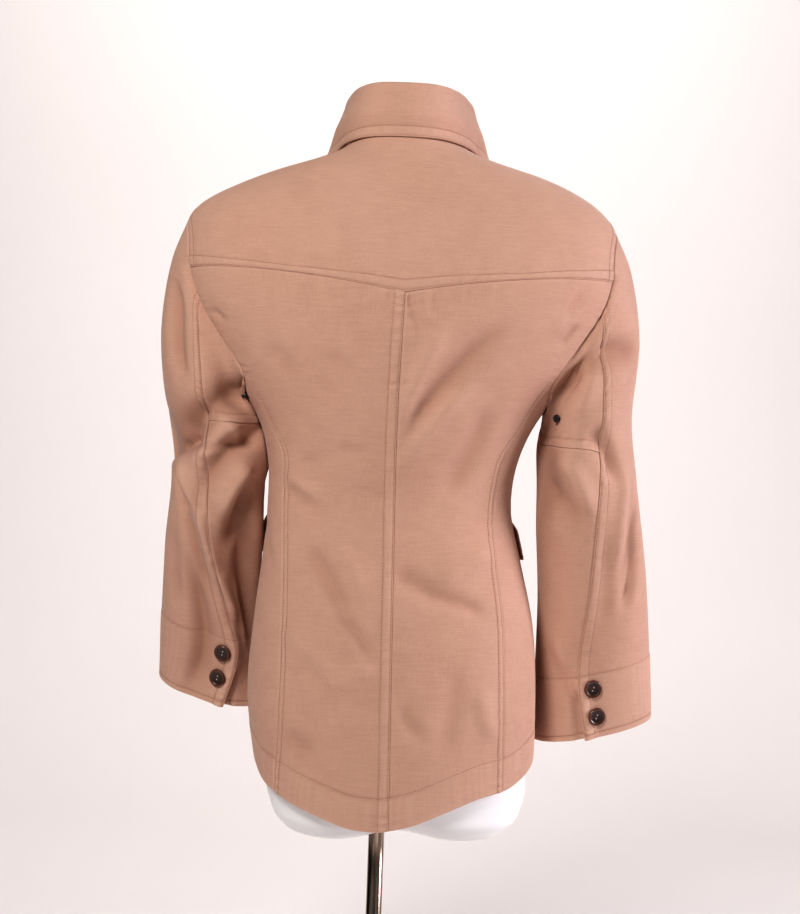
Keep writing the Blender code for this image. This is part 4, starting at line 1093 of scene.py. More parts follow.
def rose_cotton():
    made, shader, place = new_material("rose_cotton", Sheen_Weight=0.12, Sheen_Roughness=0.5)
    shader.inputs["Specular IOR Level"].default_value = 0.25
    weft = noise(place, 60.0, (1.0, 1.0, 22.0), detail=4.0)
    warp = noise(place, 60.0, (22.0, 22.0, 1.0), detail=3.0)
    patches = noise(place, 13.0, detail=4.0)
    mottle = noise(place, 44.0, detail=3.0)
    # The wear mark is real wear at the seam edges plus painted highlight on the crests of creases and seam
    # bands.
    wear = mark(place, "wear")
    # Painted shade: the fold mark darkens the colour inside the creases.
    fold = mark(place, "fold")
    threads = 0.45 * weft + 0.35 * warp + 0.20 * mottle
    tone = spread(threads, 0.34, 0.66)
    fading = spread(patches, 0.32, 0.68)
    ground = tone.blend(colour(0.490, 0.293, 0.220), colour(0.598, 0.372, 0.286))
    # Painted shade inside the folds.
    faded = (fading * 0.35).blend(ground, colour(0.604, 0.384, 0.304))
    fold_shaded = (fold * 0.50).blend(faded, colour(0.345, 0.176, 0.120))
    # Wear and painted highlight make the colour paler.
    worn_and_lit = (wear * 0.30).blend(fold_shaded, colour(0.700, 0.474, 0.380))
    # Painted shade: the colour darkens in the stitch dents.
    sunk = mark(place, "sunk")
    stitch_shaded = (sunk * 0.42).blend(worn_and_lit, colour(0.330, 0.168, 0.116))
    feed(shader, Base_Color=stitch_shaded, Roughness=0.80 + 0.14 * weft)
    weave = 0.6 * weft + 0.4 * warp
    feed(shader, Normal=bump(place, weave, 0.0009, 0.5))
    return made


cloth = rose_cotton()
print("made", cloth.name)

# %% [markdown]
# The other finishes are few: brown sewing thread, paler button thread, polished dark horn, black enamel, a
# white moulded shell and chromed steel. Each could be one flat colour, but a little noise in the colour and
# the gloss makes a surface look handled. On the pole the long streaks in the colour are painted
# reflections.

# %% Thread, horn, metal and plastic
def sewing_thread():
    made, shader, place = new_material("sewing_thread", Sheen_Weight=0.2)
    ply = noise(place, 900.0, detail=2.0)
    feed(shader, Base_Color=ply.blend(colour(0.27, 0.135, 0.095), colour(0.40, 0.215, 0.155)))
    feed(shader, Roughness=0.60 + 0.2 * ply)
    return made


def dark_horn():
    """Brown-black horn: fine streaks through the disc and a low polish."""
    made, shader, place = new_material("dark_horn", Coat_Weight=0.25, Coat_Roughness=0.2)
    streaks = noise(place, 260.0, (1.0, 1.0, 4.0), detail=5.0)
    flat = place.node("ShaderNodeVectorMath", {"operation": "MULTIPLY"}, {0: place, 1: (1.0, 1.0, 0.0)})
    radius = flat.node("ShaderNodeVectorMath", {"operation": "LENGTH"}, {0: flat}, output=1)
    rim = spread(radius, 0.0055, 0.0085)
    middle = streaks.blend(colour(0.012, 0.007, 0.006), colour(0.060, 0.028, 0.020))
    feed(shader, Base_Color=(rim * 0.8).blend(middle, colour(0.150, 0.052, 0.032)))
    feed(shader, Roughness=0.24 + 0.22 * streaks)
    return made


def button_thread():
    made, shader, place = new_material("button_thread", Sheen_Weight=0.2)
    ply = noise(place, 1200.0, detail=2.0)
    feed(shader, Base_Color=ply.blend(colour(0.30, 0.22, 0.20), colour(0.62, 0.52, 0.48)))
    feed(shader, Roughness=0.5 + 0.2 * ply)
    return made


def black_enamel():
    made, shader, place = new_material("black_enamel", Coat_Weight=0.3)
    rubbed = noise(place, 700.0, detail=4.0)
    feed(shader, Base_Color=rubbed.blend(colour(0.006, 0.006, 0.007), colour(0.030, 0.028, 0.028)))
    feed(shader, Roughness=0.22 + 0.22 * rubbed)
    return made


def white_shell():
    """The form's moulded shell: white, smooth, with a faint unevenness of the gloss."""
    made, shader, place = new_material("white_shell")
    shader.inputs["Specular IOR Level"].default_value = 0.45
    haze = noise(place, 9.0, detail=5.0)
    feed(shader, Base_Color=haze.blend(colour(0.91, 0.90, 0.91), colour(0.95, 0.94, 0.95)))
    feed(shader, Roughness=0.26 + 0.16 * haze, Normal=bump(place, haze, 0.0006, 0.3))
    return made


def polished_steel(name, dark, bright, stretch):
    """Chromed steel with long fine streaks in its colour: painted reflections on the pole, fainter wiping
    marks on the base plate.
    """
    made, shader, place = new_material(name, Metallic=1.0)
    wipes_and_reflections = noise(place, 240.0, stretch, detail=3.0)
    streak = spread(wipes_and_reflections, 0.36, 0.66)
    feed(shader, Base_Color=streak.blend(dark, bright), Roughness=0.14 + 0.16 * wipes_and_reflections)
    return made


thread, horn, spot_thread = sewing_thread(), dark_horn(), button_thread()
enamel, shell = black_enamel(), white_shell()
# The pole's dark brown and warm pale streaks are painted reflections.
POLE_REFLECTION_DARK, POLE_REFLECTION_BRIGHT = colour(0.045, 0.025, 0.016), colour(0.85, 0.70, 0.58)
BASE_DARK, BASE_BRIGHT = colour(0.40, 0.36, 0.33), colour(0.60, 0.56, 0.52)
UP_THE_POLE, ACROSS_THE_BASE = (1.0, 1.0, 0.02), (0.4, 1.0, 1.0)
pole_steel = polished_steel("pole_steel", POLE_REFLECTION_DARK, POLE_REFLECTION_BRIGHT, UP_THE_POLE)
base_steel = polished_steel("base_steel", BASE_DARK, BASE_BRIGHT, ACROSS_THE_BASE)
print("made", [made.name for made in (thread, horn, spot_thread, enamel, shell, pole_steel, base_steel)])

# %% [markdown]
# Now a panel can be made whole: lay a fine grid on the form, move it out by its creases and seams, copy
# it inwards by the cloth's thickness and close the rim. A Solidify modifier would do the same, but two
# grids made together keep the wall even where the creases are tight, and the stitch lines can be read off
# the same grid.

# %% One cloth panel
CLOTH_THICKNESS = 0.0016
FINE, COARSE = 0.0013, 0.0030
NEAR_MARGIN, WIDE_BAND, WIDE_BAND_NEAR = 0.005, 0.02, 0.008
# CREST_HIGHLIGHT paints highlight on the crests of the creases.
FOLD_DEPTH, CREST_HIGHLIGHT, CLOTH_SHARP = 0.010, 0.5, math.radians(50.0)
stitch_lines = {}


def grid_faces(rows, columns, first=0):
    """The quads of a grid of points, numbered row by row."""
    corner = first + np.arange(rows - 1)[:, None] * columns + np.arange(columns - 1)[None, :]
    return np.stack([corner, corner + 1, corner + columns + 1, corner + columns], axis=-1).reshape(-1, 4)


def rim_faces(rows, columns):
    """The quads that join the rims of two equal grids."""
    index = np.arange(rows * columns).reshape(rows, columns)
    loop = np.concatenate([index[0, :-1], index[:-1, -1], index[-1, :0:-1], index[:0:-1, 0]])
    after = np.roll(loop, -1)
    below = rows * columns
    return np.stack([after, loop, loop + below, after + below], axis=-1)


def add_piece(name, mesh, finish):
    """Links a mesh as a piece of the model, on the one body."""
    mesh.materials.append(finish)
    made = bpy.data.objects.new(name, mesh)
    bpy.context.scene.collection.objects.link(made)
    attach(made, "root")
    return made


def shell_mesh(name, outer, inner, normals, marks):
    """A closed thin wall between two grids."""
    rows, columns = outer.shape[:2]
    faces = grid_faces(rows, columns)
    corner_way = np.cross(outer[0, 1] - outer[0, 0], outer[1, 0] - outer[0, 0])
    inner_faces = grid_faces(rows, columns, rows * columns)[:, ::-1]
    all_faces = np.concatenate([faces, inner_faces, rim_faces(rows, columns)])
    if corner_way @ normals[0, 0] < 0:
        all_faces = all_faces[:, ::-1]
    points = np.concatenate([outer.reshape(-1, 3), inner.reshape(-1, 3)])
    mesh = bpy.data.meshes.new(name)
    mesh.from_pydata(points.tolist(), [], all_faces.tolist())
    for mark_name, values in marks.items():
        layer = mesh.attributes.new(mark_name, "FLOAT", "POINT")
        layer.data.foreach_set("value", np.tile(values.ravel(), 2).astype(np.float32))
    mesh.shade_smooth()
    mesh.set_sharp_from_angle(angle=CLOTH_SHARP)
    return mesh


def edge_points(grid, distance, row):
    """The points of a grid at one distance from an edge."""
    index = np.clip((distance < row).sum(axis=1), 1, distance.shape[1] - 1)
    lines = np.arange(len(index))
    low, high = distance[lines, index - 1], distance[lines, index]
    share = (row - low) / np.maximum(high - low, 1e-9)
    return between(grid[lines, index - 1], grid[lines, index], share)


def cloth_panel(name, place, size, edges, group):
    """Makes one panel as a fine shell, keeps its stitch lines, and works out its area."""
    last_rows = {edge: (0.0, *edges[edge].stitches)[-1] for edge in EDGE_NAMES}
    near = {
        edge: (row if row < WIDE_BAND else WIDE_BAND_NEAR) + NEAR_MARGIN
        for edge, row in last_rows.items()
    }
    u = shares(size[0], near["start"], near["end"], FINE, COARSE)
    v = shares(size[1], near["foot"], near["head"], FINE, COARSE)
    grid_u, grid_v = np.meshgrid(u, v)
    plain, normals, relief = place(grid_u, grid_v)
    # Painted shade: the fold mark grows as a crease sinks in.
    fold = np.clip(-relief / FOLD_DEPTH, 0.0, 1.0)
    # Painted highlight where a crease stands out; the painted stitch shade starts at zero.
    wear, sunk = CREST_HIGHLIGHT * np.clip(relief / FOLD_DEPTH, 0.0, 1.0), np.zeros_like(relief)
    distances = {}
    for edge_name in EDGE_NAMES:
        edge = edges[edge_name]
        view = from_edge(plain, edge_name)
        distance = run_length(view, 1)
        along = run_length(view, 0)[:, :1]
        row_share = (v if edge_name in ("start", "end") else u)[:, None]
        sewn = 1.0 * (row_share <= edge.until)
        # Per edge: relief, wear with painted highlight, and painted shade in the stitch dents.
        rise, worn_and_lit, low = edge_relief(edge, distance, along, sewn)
        from_edge(relief, edge_name)[...] += rise
        from_edge(wear, edge_name)[...] += worn_and_lit
        from_edge(sunk, edge_name)[...] += low
        distances[edge_name] = distance
    outer = plain + normals * relief[..., None]
    inner = outer - normals * CLOTH_THICKNESS
    marks = {"wear": wear, "sunk": sunk, "fold": fold}
    mesh = shell_mesh(f"{name}_cloth", outer, inner, normals, marks)
    piece = add_piece(f"{name}_cloth", mesh, cloth)
    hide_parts(name)
    for edge_name in EDGE_NAMES:
        edge = edges[edge_name]
        count = int(np.searchsorted(v if edge_name in ("start", "end") else u, edge.until, side="right"))
        for row in edge.stitches:
            line = edge_points(from_edge(outer, edge_name), distances[edge_name], row)[:count]
            line_normals = edge_points(from_edge(normals, edge_name), distances[edge_name], row)[:count]
            stitch_lines.setdefault(group, []).append((line, unit(line_normals)))
    diagonal_one = plain[1:, 1:] - plain[:-1, :-1]
    diagonal_two = plain[1:, :-1] - plain[:-1, 1:]
    area = float(np.linalg.norm(np.cross(diagonal_one, diagonal_two), axis=-1).sum() / 2.0)


def all_edges(**named):
    return {edge: named.get(edge, PLAIN_SEAM) for edge in EDGE_NAMES}


print("the cloth's wall is", CLOTH_THICKNESS * 1000, "mm")

# %% [markdown]
# The body panels hang on the form from the yoke. Each one is its patch on the loft, drawn in by half the
# gap that shows at a seam, with the creases of the back or the front. One closed shell with drawn-on
# seams would be less work, but then no panel could be taken away. The right front also rises over the
# left where they lap.

# %% Body panels
def body_place(patch, size, lifted=None):
    """Places a body panel: its plain points, their way out and its creases."""
    inset_u, inset_v = SHOWN_GAP / 2.0 / size[0], SHOWN_GAP / 2.0 / size[1]

    def place(u, v):
        trimmed = patch(inset_u + (1.0 - 2.0 * inset_u) * u, inset_v + (1.0 - 2.0 * inset_v) * v)
        angle, height = np.moveaxis(trimmed, -1, 0)
        lift = lifted(angle, height) if lifted else 0.0 * angle
        plain, normals = place_and_way(angle, height, lift)
        return plain, normals, body_creases(plain, angle)

    return place


YOKE_SIZE, CENTRE_SIZE, SIDE_SIZE, FRONT_SIZE = (0.42, 0.13), (0.12, 0.52), (0.06, 0.38), (0.20, 0.55)
cloth_panel(
    "back_yoke", body_place(yoke_patch(), YOKE_SIZE), YOKE_SIZE,
    all_edges(start=ARMHOLE_FELL, end=ARMHOLE_FELL, foot=YOKE_FELL), "body",
)
for side in SIDES:
    centre_edge = CENTRE_BACK_FELL if side == "left" else CENTRE_BACK_UNDER
    cloth_panel(
        f"back_centre_{side}", body_place(back_centre_patch(side), CENTRE_SIZE), CENTRE_SIZE,
        all_edges(start=centre_edge, end=PRINCESS_FELL, foot=HEM_FOLD, head=YOKE_UNDER),
        "body",
    )
    cloth_panel(
        f"back_side_{side}", body_place(back_side_patch(side), SIDE_SIZE), SIDE_SIZE,
        all_edges(foot=HEM_FOLD), "body",
    )
    cloth_panel(
        f"front_{side}",
        body_place(front_patch(side), FRONT_SIZE, lap_rise if side == "right" else None), FRONT_SIZE,
        all_edges(end=FRONT_EDGE, foot=HEM_FOLD), "body",
    )

# %% [markdown]
# Each sleeve has three pieces: the top sleeve, the under sleeve that laps under it at the vent, and the
# patch that closes it under the arm. They share one tube, so one function places all three. A hanging
# sleeve rests against the body, and where a crease would press it through, the cloth is moved out until
# it only touches.

# %% Sleeves
REST_ON_BODY, SIDE_ANGLES, HALVINGS = 0.0006, (0.25 * math.pi, 0.75 * math.pi), 20
REST_STARTS, LAP_EDGE = (0.02, 0.10), (BACK_SEAM_STEP + 0.1, BACK_SEAM_STEP + 1.0)


def body_side(side, depth, height):
    """How far out the side of the body stands, found by halving the angle at each depth."""
    low, high = np.full_like(depth, SIDE_ANGLES[0]), np.full_like(depth, SIDE_ANGLES[1])
    for _ in range(HALVINGS):
        middle = (low + high) / 2.0
        behind = body_point(SIDES[side] * middle, height)[..., 1] > depth
        low, high = np.where(behind, middle, low), np.where(behind, high, middle)
    return SIDES[side] * body_point(SIDES[side] * low, height)[..., 0]


def sleeve_place(side, step_of, along_of, lapped=False):
    """Places a sleeve piece from functions that give its steps and its place along."""

    def place(u, v):
        along = along_of(u, v)
        step = step_of(u, along)
        plain = plain_sleeve(side, step, along)
        relief = sleeve_creases(side, step, along)
        if lapped:
            near_seam = 1.0 - smooth_step(*LAP_EDGE, step)
            relief = relief - UNDERLAP_DEPTH * near_seam * smooth_step(VENT_START, VENT_FULL, along)
        normals = sleeve_normal(side, step, along)
        shown = plain + normals * relief[..., None]
        room = SIDES[side] * shown[..., 0] - body_side(side, shown[..., 1], shown[..., 2]) - REST_ON_BODY
        plain[..., 0] -= SIDES[side] * np.minimum(room, 0.0) * smooth_step(*REST_STARTS, along)
        return plain, normals, relief

    return place


def top_step(u, along):
    low, high = FRONT_SEAM_STEP - STEPS_ROUND + STEP_GAP, BACK_SEAM_STEP - STEP_GAP
    return low + (high - low) * u


def under_step(u, along):
    lap = UNDERLAP * smooth_step(VENT_START, VENT_FULL, along)
    low, high = BACK_SEAM_STEP + STEP_GAP - lap, FRONT_SEAM_STEP - STEP_GAP
    return low + (high - low) * u


def patch_end(side, u):
    return patch_seam(side, BACK_SEAM_STEP + (FRONT_SEAM_STEP - BACK_SEAM_STEP) * u)


SLEEVE_WIDTH, PATCH_LENGTH = 0.16, 0.06
for side in SIDES:
    cloth_panel(
        f"sleeve_top_{side}",
        sleeve_place(side, top_step, lambda u, v: ALONG_GAP + (1.0 - ALONG_GAP) * v),
        (SLEEVE_WIDTH, SLEEVE_LENGTH),
        all_edges(end=SLEEVE_FELL, foot=SLEEVE_HEAD, head=CUFF_EDGE[side]),
        "sleeves",
    )
    cloth_panel(
        f"underarm_patch_{side}",
        sleeve_place(side, under_step, lambda u, v: ALONG_GAP + (patch_end(side, u) - 2 * ALONG_GAP) * v),
        (SLEEVE_WIDTH, PATCH_LENGTH),
        all_edges(head=PATCH_CROSS), "sleeves",
    )
    cloth_panel(
        f"sleeve_under_{side}",
        sleeve_place(
            side, under_step,
            lambda u, v: patch_end(side, u) + ALONG_GAP + (1.0 - patch_end(side, u) - ALONG_GAP) * v,
            lapped=True,
        ),
        (SLEEVE_WIDTH, SLEEVE_LENGTH - 2 * PATCH_LENGTH),
        all_edges(head=CUFF_EDGE[side]), "sleeves",
    )

# %% [markdown]
# The collar is drawn from its profile, and its fall is drawn in until its edge rests on the yoke, as a
# pressed collar does. A Shrinkwrap modifier could do that, but it would also flatten the roll. The way
# out of the cloth turns over with the fold, so it is measured on the profile itself.

# %% Collar
COLUMNS_ROUND_NECK = 18
FRONT_PART = FRONT_NECK_COLUMNS / COLUMNS_ROUND_NECK
REST_SHARES = np.linspace(-0.75, 0.75, 61)
ROUND_BODY = np.linspace(-math.pi, math.pi, 721)
REST_CLEARANCE, REST_LIMIT, SIDE_LEAN = 0.0030, 0.010, 0.006
FALL_PROFILE, FALL_SIDES = (0.78, 1.0), (0.42, 0.62)
LEAN_STARTS, LEAN_ENDS = (0.22, 0.44), (0.60, 0.78)
ROUND_NUDGE, OVER_NUDGE = 0.002, 0.004
SWELL_HEIGHT, SWELL_WAVES, SWELL_START, SWELL_FULL = 0.0008, 3.0, 0.2, 0.8


def collar_share(u):
    """The share round the neck for each share of the collar's own length."""
    knots = (0.0, FRONT_PART, 1.0 - FRONT_PART, 1.0)
    return np.interp(u, knots, (-COLLAR_END_SHARE, -NECK_POINT_SHARE, NECK_POINT_SHARE, COLLAR_END_SHARE))


def rest_gaps():
    """How far the fall's edge stands off the yoke, round the neck."""
    gaps = []
    for edge in collar_point(REST_SHARES, np.ones_like(REST_SHARES)):
        section = body_point(ROUND_BODY, edge[2])
        nearest = np.linalg.norm(section[:, :2] - edge[:2], axis=1).argmin()
        gaps.append(np.hypot(*edge[:2]) - np.hypot(*section[nearest, :2]) - REST_CLEARANCE)
    return np.clip(gaps, 0.0, REST_LIMIT)


REST_GAPS = rest_gaps()


def resting_collar(share, profile, out=0.0):
    """The collar drawn in until its fall rests on the yoke, and leaning in at its sides."""
    point = collar_point(share, profile, out)
    level = unit(point * [1.0, 1.0, 0.0])
    aside = np.abs(share)
    fall = smooth_step(*FALL_PROFILE, profile) * (1.0 - smooth_step(*FALL_SIDES, aside))
    lean = smooth_step(*LEAN_STARTS, aside) * (1.0 - smooth_step(*LEAN_ENDS, aside))
    pull = np.interp(share, REST_SHARES, REST_GAPS) * fall + SIDE_LEAN * lean * np.sin(np.pi * profile) ** 2
    return point - level * pull[..., None]


def collar_place(u, v):
    share = collar_share(u)
    plain = resting_collar(share, v)
    before, after = (collar_share(np.clip(u + way * ROUND_NUDGE, 0, 1)) for way in (-1, 1))
    under, over = (np.clip(v + way * OVER_NUDGE, 0, 1) for way in (-1, 1))
    round_way = resting_collar(after, v) - resting_collar(before, v)
    over_way = resting_collar(share, over) - resting_collar(share, under)
    normals = unit(np.cross(round_way, over_way))
    towards = resting_collar(share, v, NUDGE_OUT) - plain
    normals = normals * np.sign(np.sum(normals * towards, axis=-1, keepdims=True))
    fall = smooth_step(COLLAR_FALL_START, SWELL_FULL, v) * np.sin(np.pi * np.clip(u, 0.0, 1.0)) ** 2
    swell = SWELL_HEIGHT * fall * np.sin(2 * np.pi * (u * SWELL_WAVES + SWELL_START))
    return plain, normals, swell


COLLAR_SIZE = (0.40, 0.115)
cloth_panel(
    "collar", collar_place, COLLAR_SIZE,
    all_edges(start=COLLAR_FALL_EDGE, end=COLLAR_FALL_EDGE, head=COLLAR_FALL_EDGE),
    "collar",
)

# %% [markdown]
# A hip pocket is a bag of cloth sewn flat on the front, and its flap lies over it. Both are the front's
# own points moved out, so they keep to its curve. A separate flat sheet would have to be bent to it.

# %% Hip pockets and flaps
POCKET_ANGLES, POCKET_HEIGHTS = (104.0, 148.0), (0.480, 0.598)
FLAP_HEIGHTS, FLAP_FLAT, BAG_MOUTH = (0.566, 0.612), (0.6, 1.0), 0.75
POCKET_WIDTH, POCKET_CREASES = 0.08, 0.3
POCKET_BULGE, FLAP_RISE, LAID_ON_GAP, SOLID_CLOTH = 0.0026, 0.0058, 0.0020, 0.0018
LAID_ON = LAID_ON_GAP + SOLID_CLOTH


def pocket_rise(u, v):
    """A pocket bag swells towards its middle and lies flat at its seams."""
    return POCKET_BULGE * np.sqrt(np.sin(np.pi * u) * np.sin(np.pi * v * BAG_MOUTH))


def flap_rise(u, v):
    """A flap lies over the bag and ends flat on the front at its seam."""
    return FLAP_RISE * (1.0 - smooth_step(*FLAP_FLAT, v))


def laid_on_front(side, heights, rise):
    def place(u, v):
        angle = SIDES[side] * np.radians(POCKET_ANGLES[0] + (POCKET_ANGLES[1] - POCKET_ANGLES[0]) * u)
        height = heights[0] + (heights[1] - heights[0]) * v
        lift = LAID_ON + rise(np.clip(u, 0.0, 1.0), np.clip(v, 0.0, 1.0))
        plain, normals = place_and_way(angle, height, lift)
        return plain, normals, POCKET_CREASES * body_creases(plain, angle)

    return place


POCKET_PIECES = (("pocket", POCKET_HEIGHTS, pocket_rise), ("pocket_flap", FLAP_HEIGHTS, flap_rise))
for side in SIDES:
    for name, heights, rise in POCKET_PIECES:
        cloth_panel(
            f"{name}_{side}", laid_on_front(side, heights, rise), (POCKET_WIDTH, heights[1] - heights[0]),
            {edge: POCKET_EDGE for edge in EDGE_NAMES}, "pockets",
        )

# %% [markdown]
# Topstitching shows as rows of short threads sunk in the cloth. Thousands of separate objects would be
# slow, so each group is one mesh: a single stitch of ten points is copied along the lines that the panels
# kept.

# %% Stitches
STITCH_PITCH, STITCH_LENGTH, STITCH_RADIUS = 0.0031, 0.0022, 0.00038
STITCH_SINK = 0.00008
STITCH_ENDS = 0.002
STITCH_TIP, STITCH_RING, STITCH_SIDES = 0.5, 0.30, 4


def stitch_template():
    """The points and faces of one stitch, along its own X: a tip, two rings and a tip."""
    turns = np.arange(STITCH_SIDES) * 2.0 * math.pi / STITCH_SIDES
    points, faces = [(-STITCH_TIP, 0.0, 0.0)], []
    for along in (-STITCH_RING, STITCH_RING):
        points += [(along, math.cos(turn), math.sin(turn)) for turn in turns]
    points.append((STITCH_TIP, 0.0, 0.0))
    last = len(points) - 1
    for number in range(STITCH_SIDES):
        one, one_after = 1 + number, 1 + (number + 1) % STITCH_SIDES
        two, two_after = one + STITCH_SIDES, one_after + STITCH_SIDES
        faces += [(0, one_after, one), (last, two, two_after)]
        faces += [(one, one_after, two_after), (one, two_after, two)]
    return np.array(points), np.array(faces)


def stitches_along(line, normals):
    """Where each stitch of a line lies, which way it runs and which way is out."""
    run = np.concatenate([[0.0], np.cumsum(np.linalg.norm(np.diff(line, axis=0), axis=1))])
    centres = np.arange(STITCH_ENDS, run[-1] - STITCH_ENDS, STITCH_PITCH)

    def at(values, where):
        return np.stack([np.interp(where, run, values[:, axis]) for axis in range(3)], axis=-1)

    way = unit(at(line, centres + STITCH_LENGTH / 3) - at(line, centres - STITCH_LENGTH / 3))
    return at(line, centres), way, at(normals, centres)


TEMPLATE_POINTS, TEMPLATE_FACES = stitch_template()
for group, lines in stitch_lines.items():
    placed = [stitches_along(line, normals) for line, normals in lines]
    middle, way, out = (np.concatenate(part) for part in zip(*placed))
    aside = unit(np.cross(out, way))
    upright = np.cross(way, aside)
    points = (
        (middle - upright * STITCH_SINK)[:, None]
        + way[:, None] * TEMPLATE_POINTS[None, :, :1] * STITCH_LENGTH
        + aside[:, None] * TEMPLATE_POINTS[None, :, 1:2] * STITCH_RADIUS
        + upright[:, None] * TEMPLATE_POINTS[None, :, 2:] * STITCH_RADIUS
    )
    faces = TEMPLATE_FACES[None] + np.arange(len(middle))[:, None, None] * len(TEMPLATE_POINTS)
    mesh = bpy.data.meshes.new(f"stitches_{group}")
    mesh.from_pydata(points.reshape(-1, 3).tolist(), [], faces.reshape(-1, 3).tolist())
    mesh.shade_smooth()
    add_piece(f"stitches_{group}", mesh, thread)
    print(group, "stitches", len(middle), "triangles", len(middle) * len(TEMPLATE_FACES))

# %% [markdown]
# Buttons are turned from horn: a raised rim, a dished middle and two holes filled with thread. A profile
# spun round its axis makes the disc, and a Boolean drills the holes, as a drill would.

# %% Turned shapes
TURNED_SHARP, CUT_SHARP, WELD = math.radians(45.0), math.radians(40.0), 1e-6


def turned_mesh(name, profile, sides):
    """A closed shape spun round Z from a profile of radius and height."""
    shape = bmesh.new()
    points = [shape.verts.new((radius, 0.0, height)) for radius, height in profile]
    edges = [shape.edges.new(ends) for ends in zip(points[:-1], points[1:])]
    bmesh.ops.spin(
        shape, geom=points + edges, axis=(0, 0, 1), cent=(0, 0, 0),
        steps=sides, angle=2 * math.pi, use_merge=True,
    )
    bmesh.ops.remove_doubles(shape, verts=shape.verts[:], dist=WELD)
    bmesh.ops.recalc_face_normals(shape, faces=shape.faces[:])
    mesh = bpy.data.meshes.new(name)
    shape.to_mesh(mesh)
    shape.free()
    mesh.shade_smooth()
    mesh.set_sharp_from_angle(angle=TURNED_SHARP)
    return mesh


def cut_mesh(name, mesh, cutters):
    """The mesh with other meshes cut out of it."""
    body = bpy.data.objects.new(name, mesh)
    scene_objects = bpy.context.scene.collection.objects
    scene_objects.link(body)
    tools = []
    for cutter, place in cutters:
        tool = bpy.data.objects.new("drill", cutter)
        tool.location = place
        scene_objects.link(tool)
        tools.append(tool)
        hole = body.modifiers.new("hole", "BOOLEAN")
        hole.operation = "DIFFERENCE"
        hole.object = tool
    graph = bpy.context.evaluated_depsgraph_get()
    made = bpy.data.meshes.new_from_object(body.evaluated_get(graph))
    for used in (body, *tools):
        bpy.data.objects.remove(used)
    made.name = name
    made.shade_smooth()
    made.set_sharp_from_angle(angle=CUT_SHARP)
    return made


def lean_to(place, way):
    """The matrix that stands a turned shape on a point, its Z along the way."""
    return Matrix.Translation(Vector(place)) @ Vector(way).to_track_quat("Z", "Y").to_matrix().to_4x4()


BUTTON_RADIUS, BUTTON_THICKNESS, BUTTON_STAND_OFF = 0.0093, 0.0034, 0.0012
BUTTON_PROFILE = (
    (0.0, 0.0), (0.80, 0.0), (0.95, 0.22), (1.0, 0.50), (0.96, 0.82), (0.88, 1.0),
    (0.78, 0.96), (0.70, 0.74), (0.60, 0.66), (0.30, 0.60), (0.0, 0.58),
)
HOLE_OFFSET, HOLE_RADIUS = 0.0018, 0.0008
DRILL_FOOT, DRILL_HEAD = -0.002, 0.006
BUTTON_SIDES, DRILL_SIDES = 56, 16
button_profile = [(radius * BUTTON_RADIUS, height * BUTTON_THICKNESS) for radius, height in BUTTON_PROFILE]
button_solid = turned_mesh("horn_button", button_profile, BUTTON_SIDES)
drill_profile = [(0, DRILL_FOOT), (HOLE_RADIUS, DRILL_FOOT), (HOLE_RADIUS, DRILL_HEAD), (0, DRILL_HEAD)]
drill = turned_mesh("drill", drill_profile, DRILL_SIDES)
button_mesh = cut_mesh("horn_button", button_solid, [(drill, (way * HOLE_OFFSET, 0, 0)) for way in (-1, 1)])
print("button triangles", sum(len(face.vertices) - 2 for face in button_mesh.polygons))

# %% [markdown]
# A button is held by thread that passes through its two holes. A modelled loop of thread would hardly
# show at this size, so a small flattened ball fills each hole.

# %% Thread through the buttons
SPOT_RADIUS, SPOT_HEIGHT, SPOT_SINK = 0.00085, 0.0026, 0.0007
SPOT_SHAPE, SPOT_SIDES, SPOT_ROWS = (1.15, 0.85, 0.7), 16, 10


def thread_mesh():
    """Two knots of thread, one filling each hole of the button."""
    shape = bmesh.new()
    for way in (-1, 1):
        made = bmesh.ops.create_uvsphere(
            shape, u_segments=SPOT_SIDES, v_segments=SPOT_ROWS, radius=SPOT_RADIUS
        )["verts"]
        bmesh.ops.scale(shape, verts=made, vec=SPOT_SHAPE)
        bmesh.ops.translate(shape, verts=made, vec=(way * HOLE_OFFSET, 0.0, SPOT_HEIGHT - SPOT_SINK))
    mesh = bpy.data.meshes.new("button_thread")
    shape.to_mesh(mesh)
    shape.free()
    mesh.shade_smooth()
    return mesh


spot_mesh = thread_mesh()
print("thread points", len(spot_mesh.vertices))

# %% [markdown]
# Two buttons close each cuff vent, one each flap and five the front. They share one mesh and stand a
# little off the cloth, where a shank of thread would hold them. On a creased sleeve a button leans with the
# cloth under it, so its way out is measured over the button's own width.

# %% Buttons in their places
CUFF_BUTTON_ALONG = {"left": (0.861, 0.927), "right": (0.885, 0.950)}
CUFF_BUTTON_STEP, FLAP_BUTTON_UP = 7.0, 0.016
BUTTON_STEPS, BUTTON_SHARE = 0.6, 0.015
FRONT_BUTTON_HEIGHTS = (0.860, 0.760, 0.660, 0.560, 0.460)
THREAD_TURN = {"cuff": 70.0, "flap": 0.0, "front": 90.0}


def creased_sleeve(side, step, along):
    """A point of the creased cloth of a sleeve."""
    step, along = np.asarray(step, float), np.asarray(along, float)
    relief = sleeve_creases(side, step, along)
    return plain_sleeve(side, step, along) + sleeve_normal(side, step, along) * relief[..., None]


def creased_normal(side, step, along):
    """The way out of the creased cloth under a button or an eyelet."""
    right_edge = creased_sleeve(side, step + BUTTON_STEPS, along)
    left_edge = creased_sleeve(side, step - BUTTON_STEPS, along)
    lower_edge = creased_sleeve(side, step, along + BUTTON_SHARE)
    upper_edge = creased_sleeve(side, step, along - BUTTON_SHARE)
    round_way, down_way = right_edge - left_edge, lower_edge - upper_edge
    way = unit(np.cross(round_way, down_way))
    return way * np.sign(way @ sleeve_normal(side, np.array(step), np.array(along)))


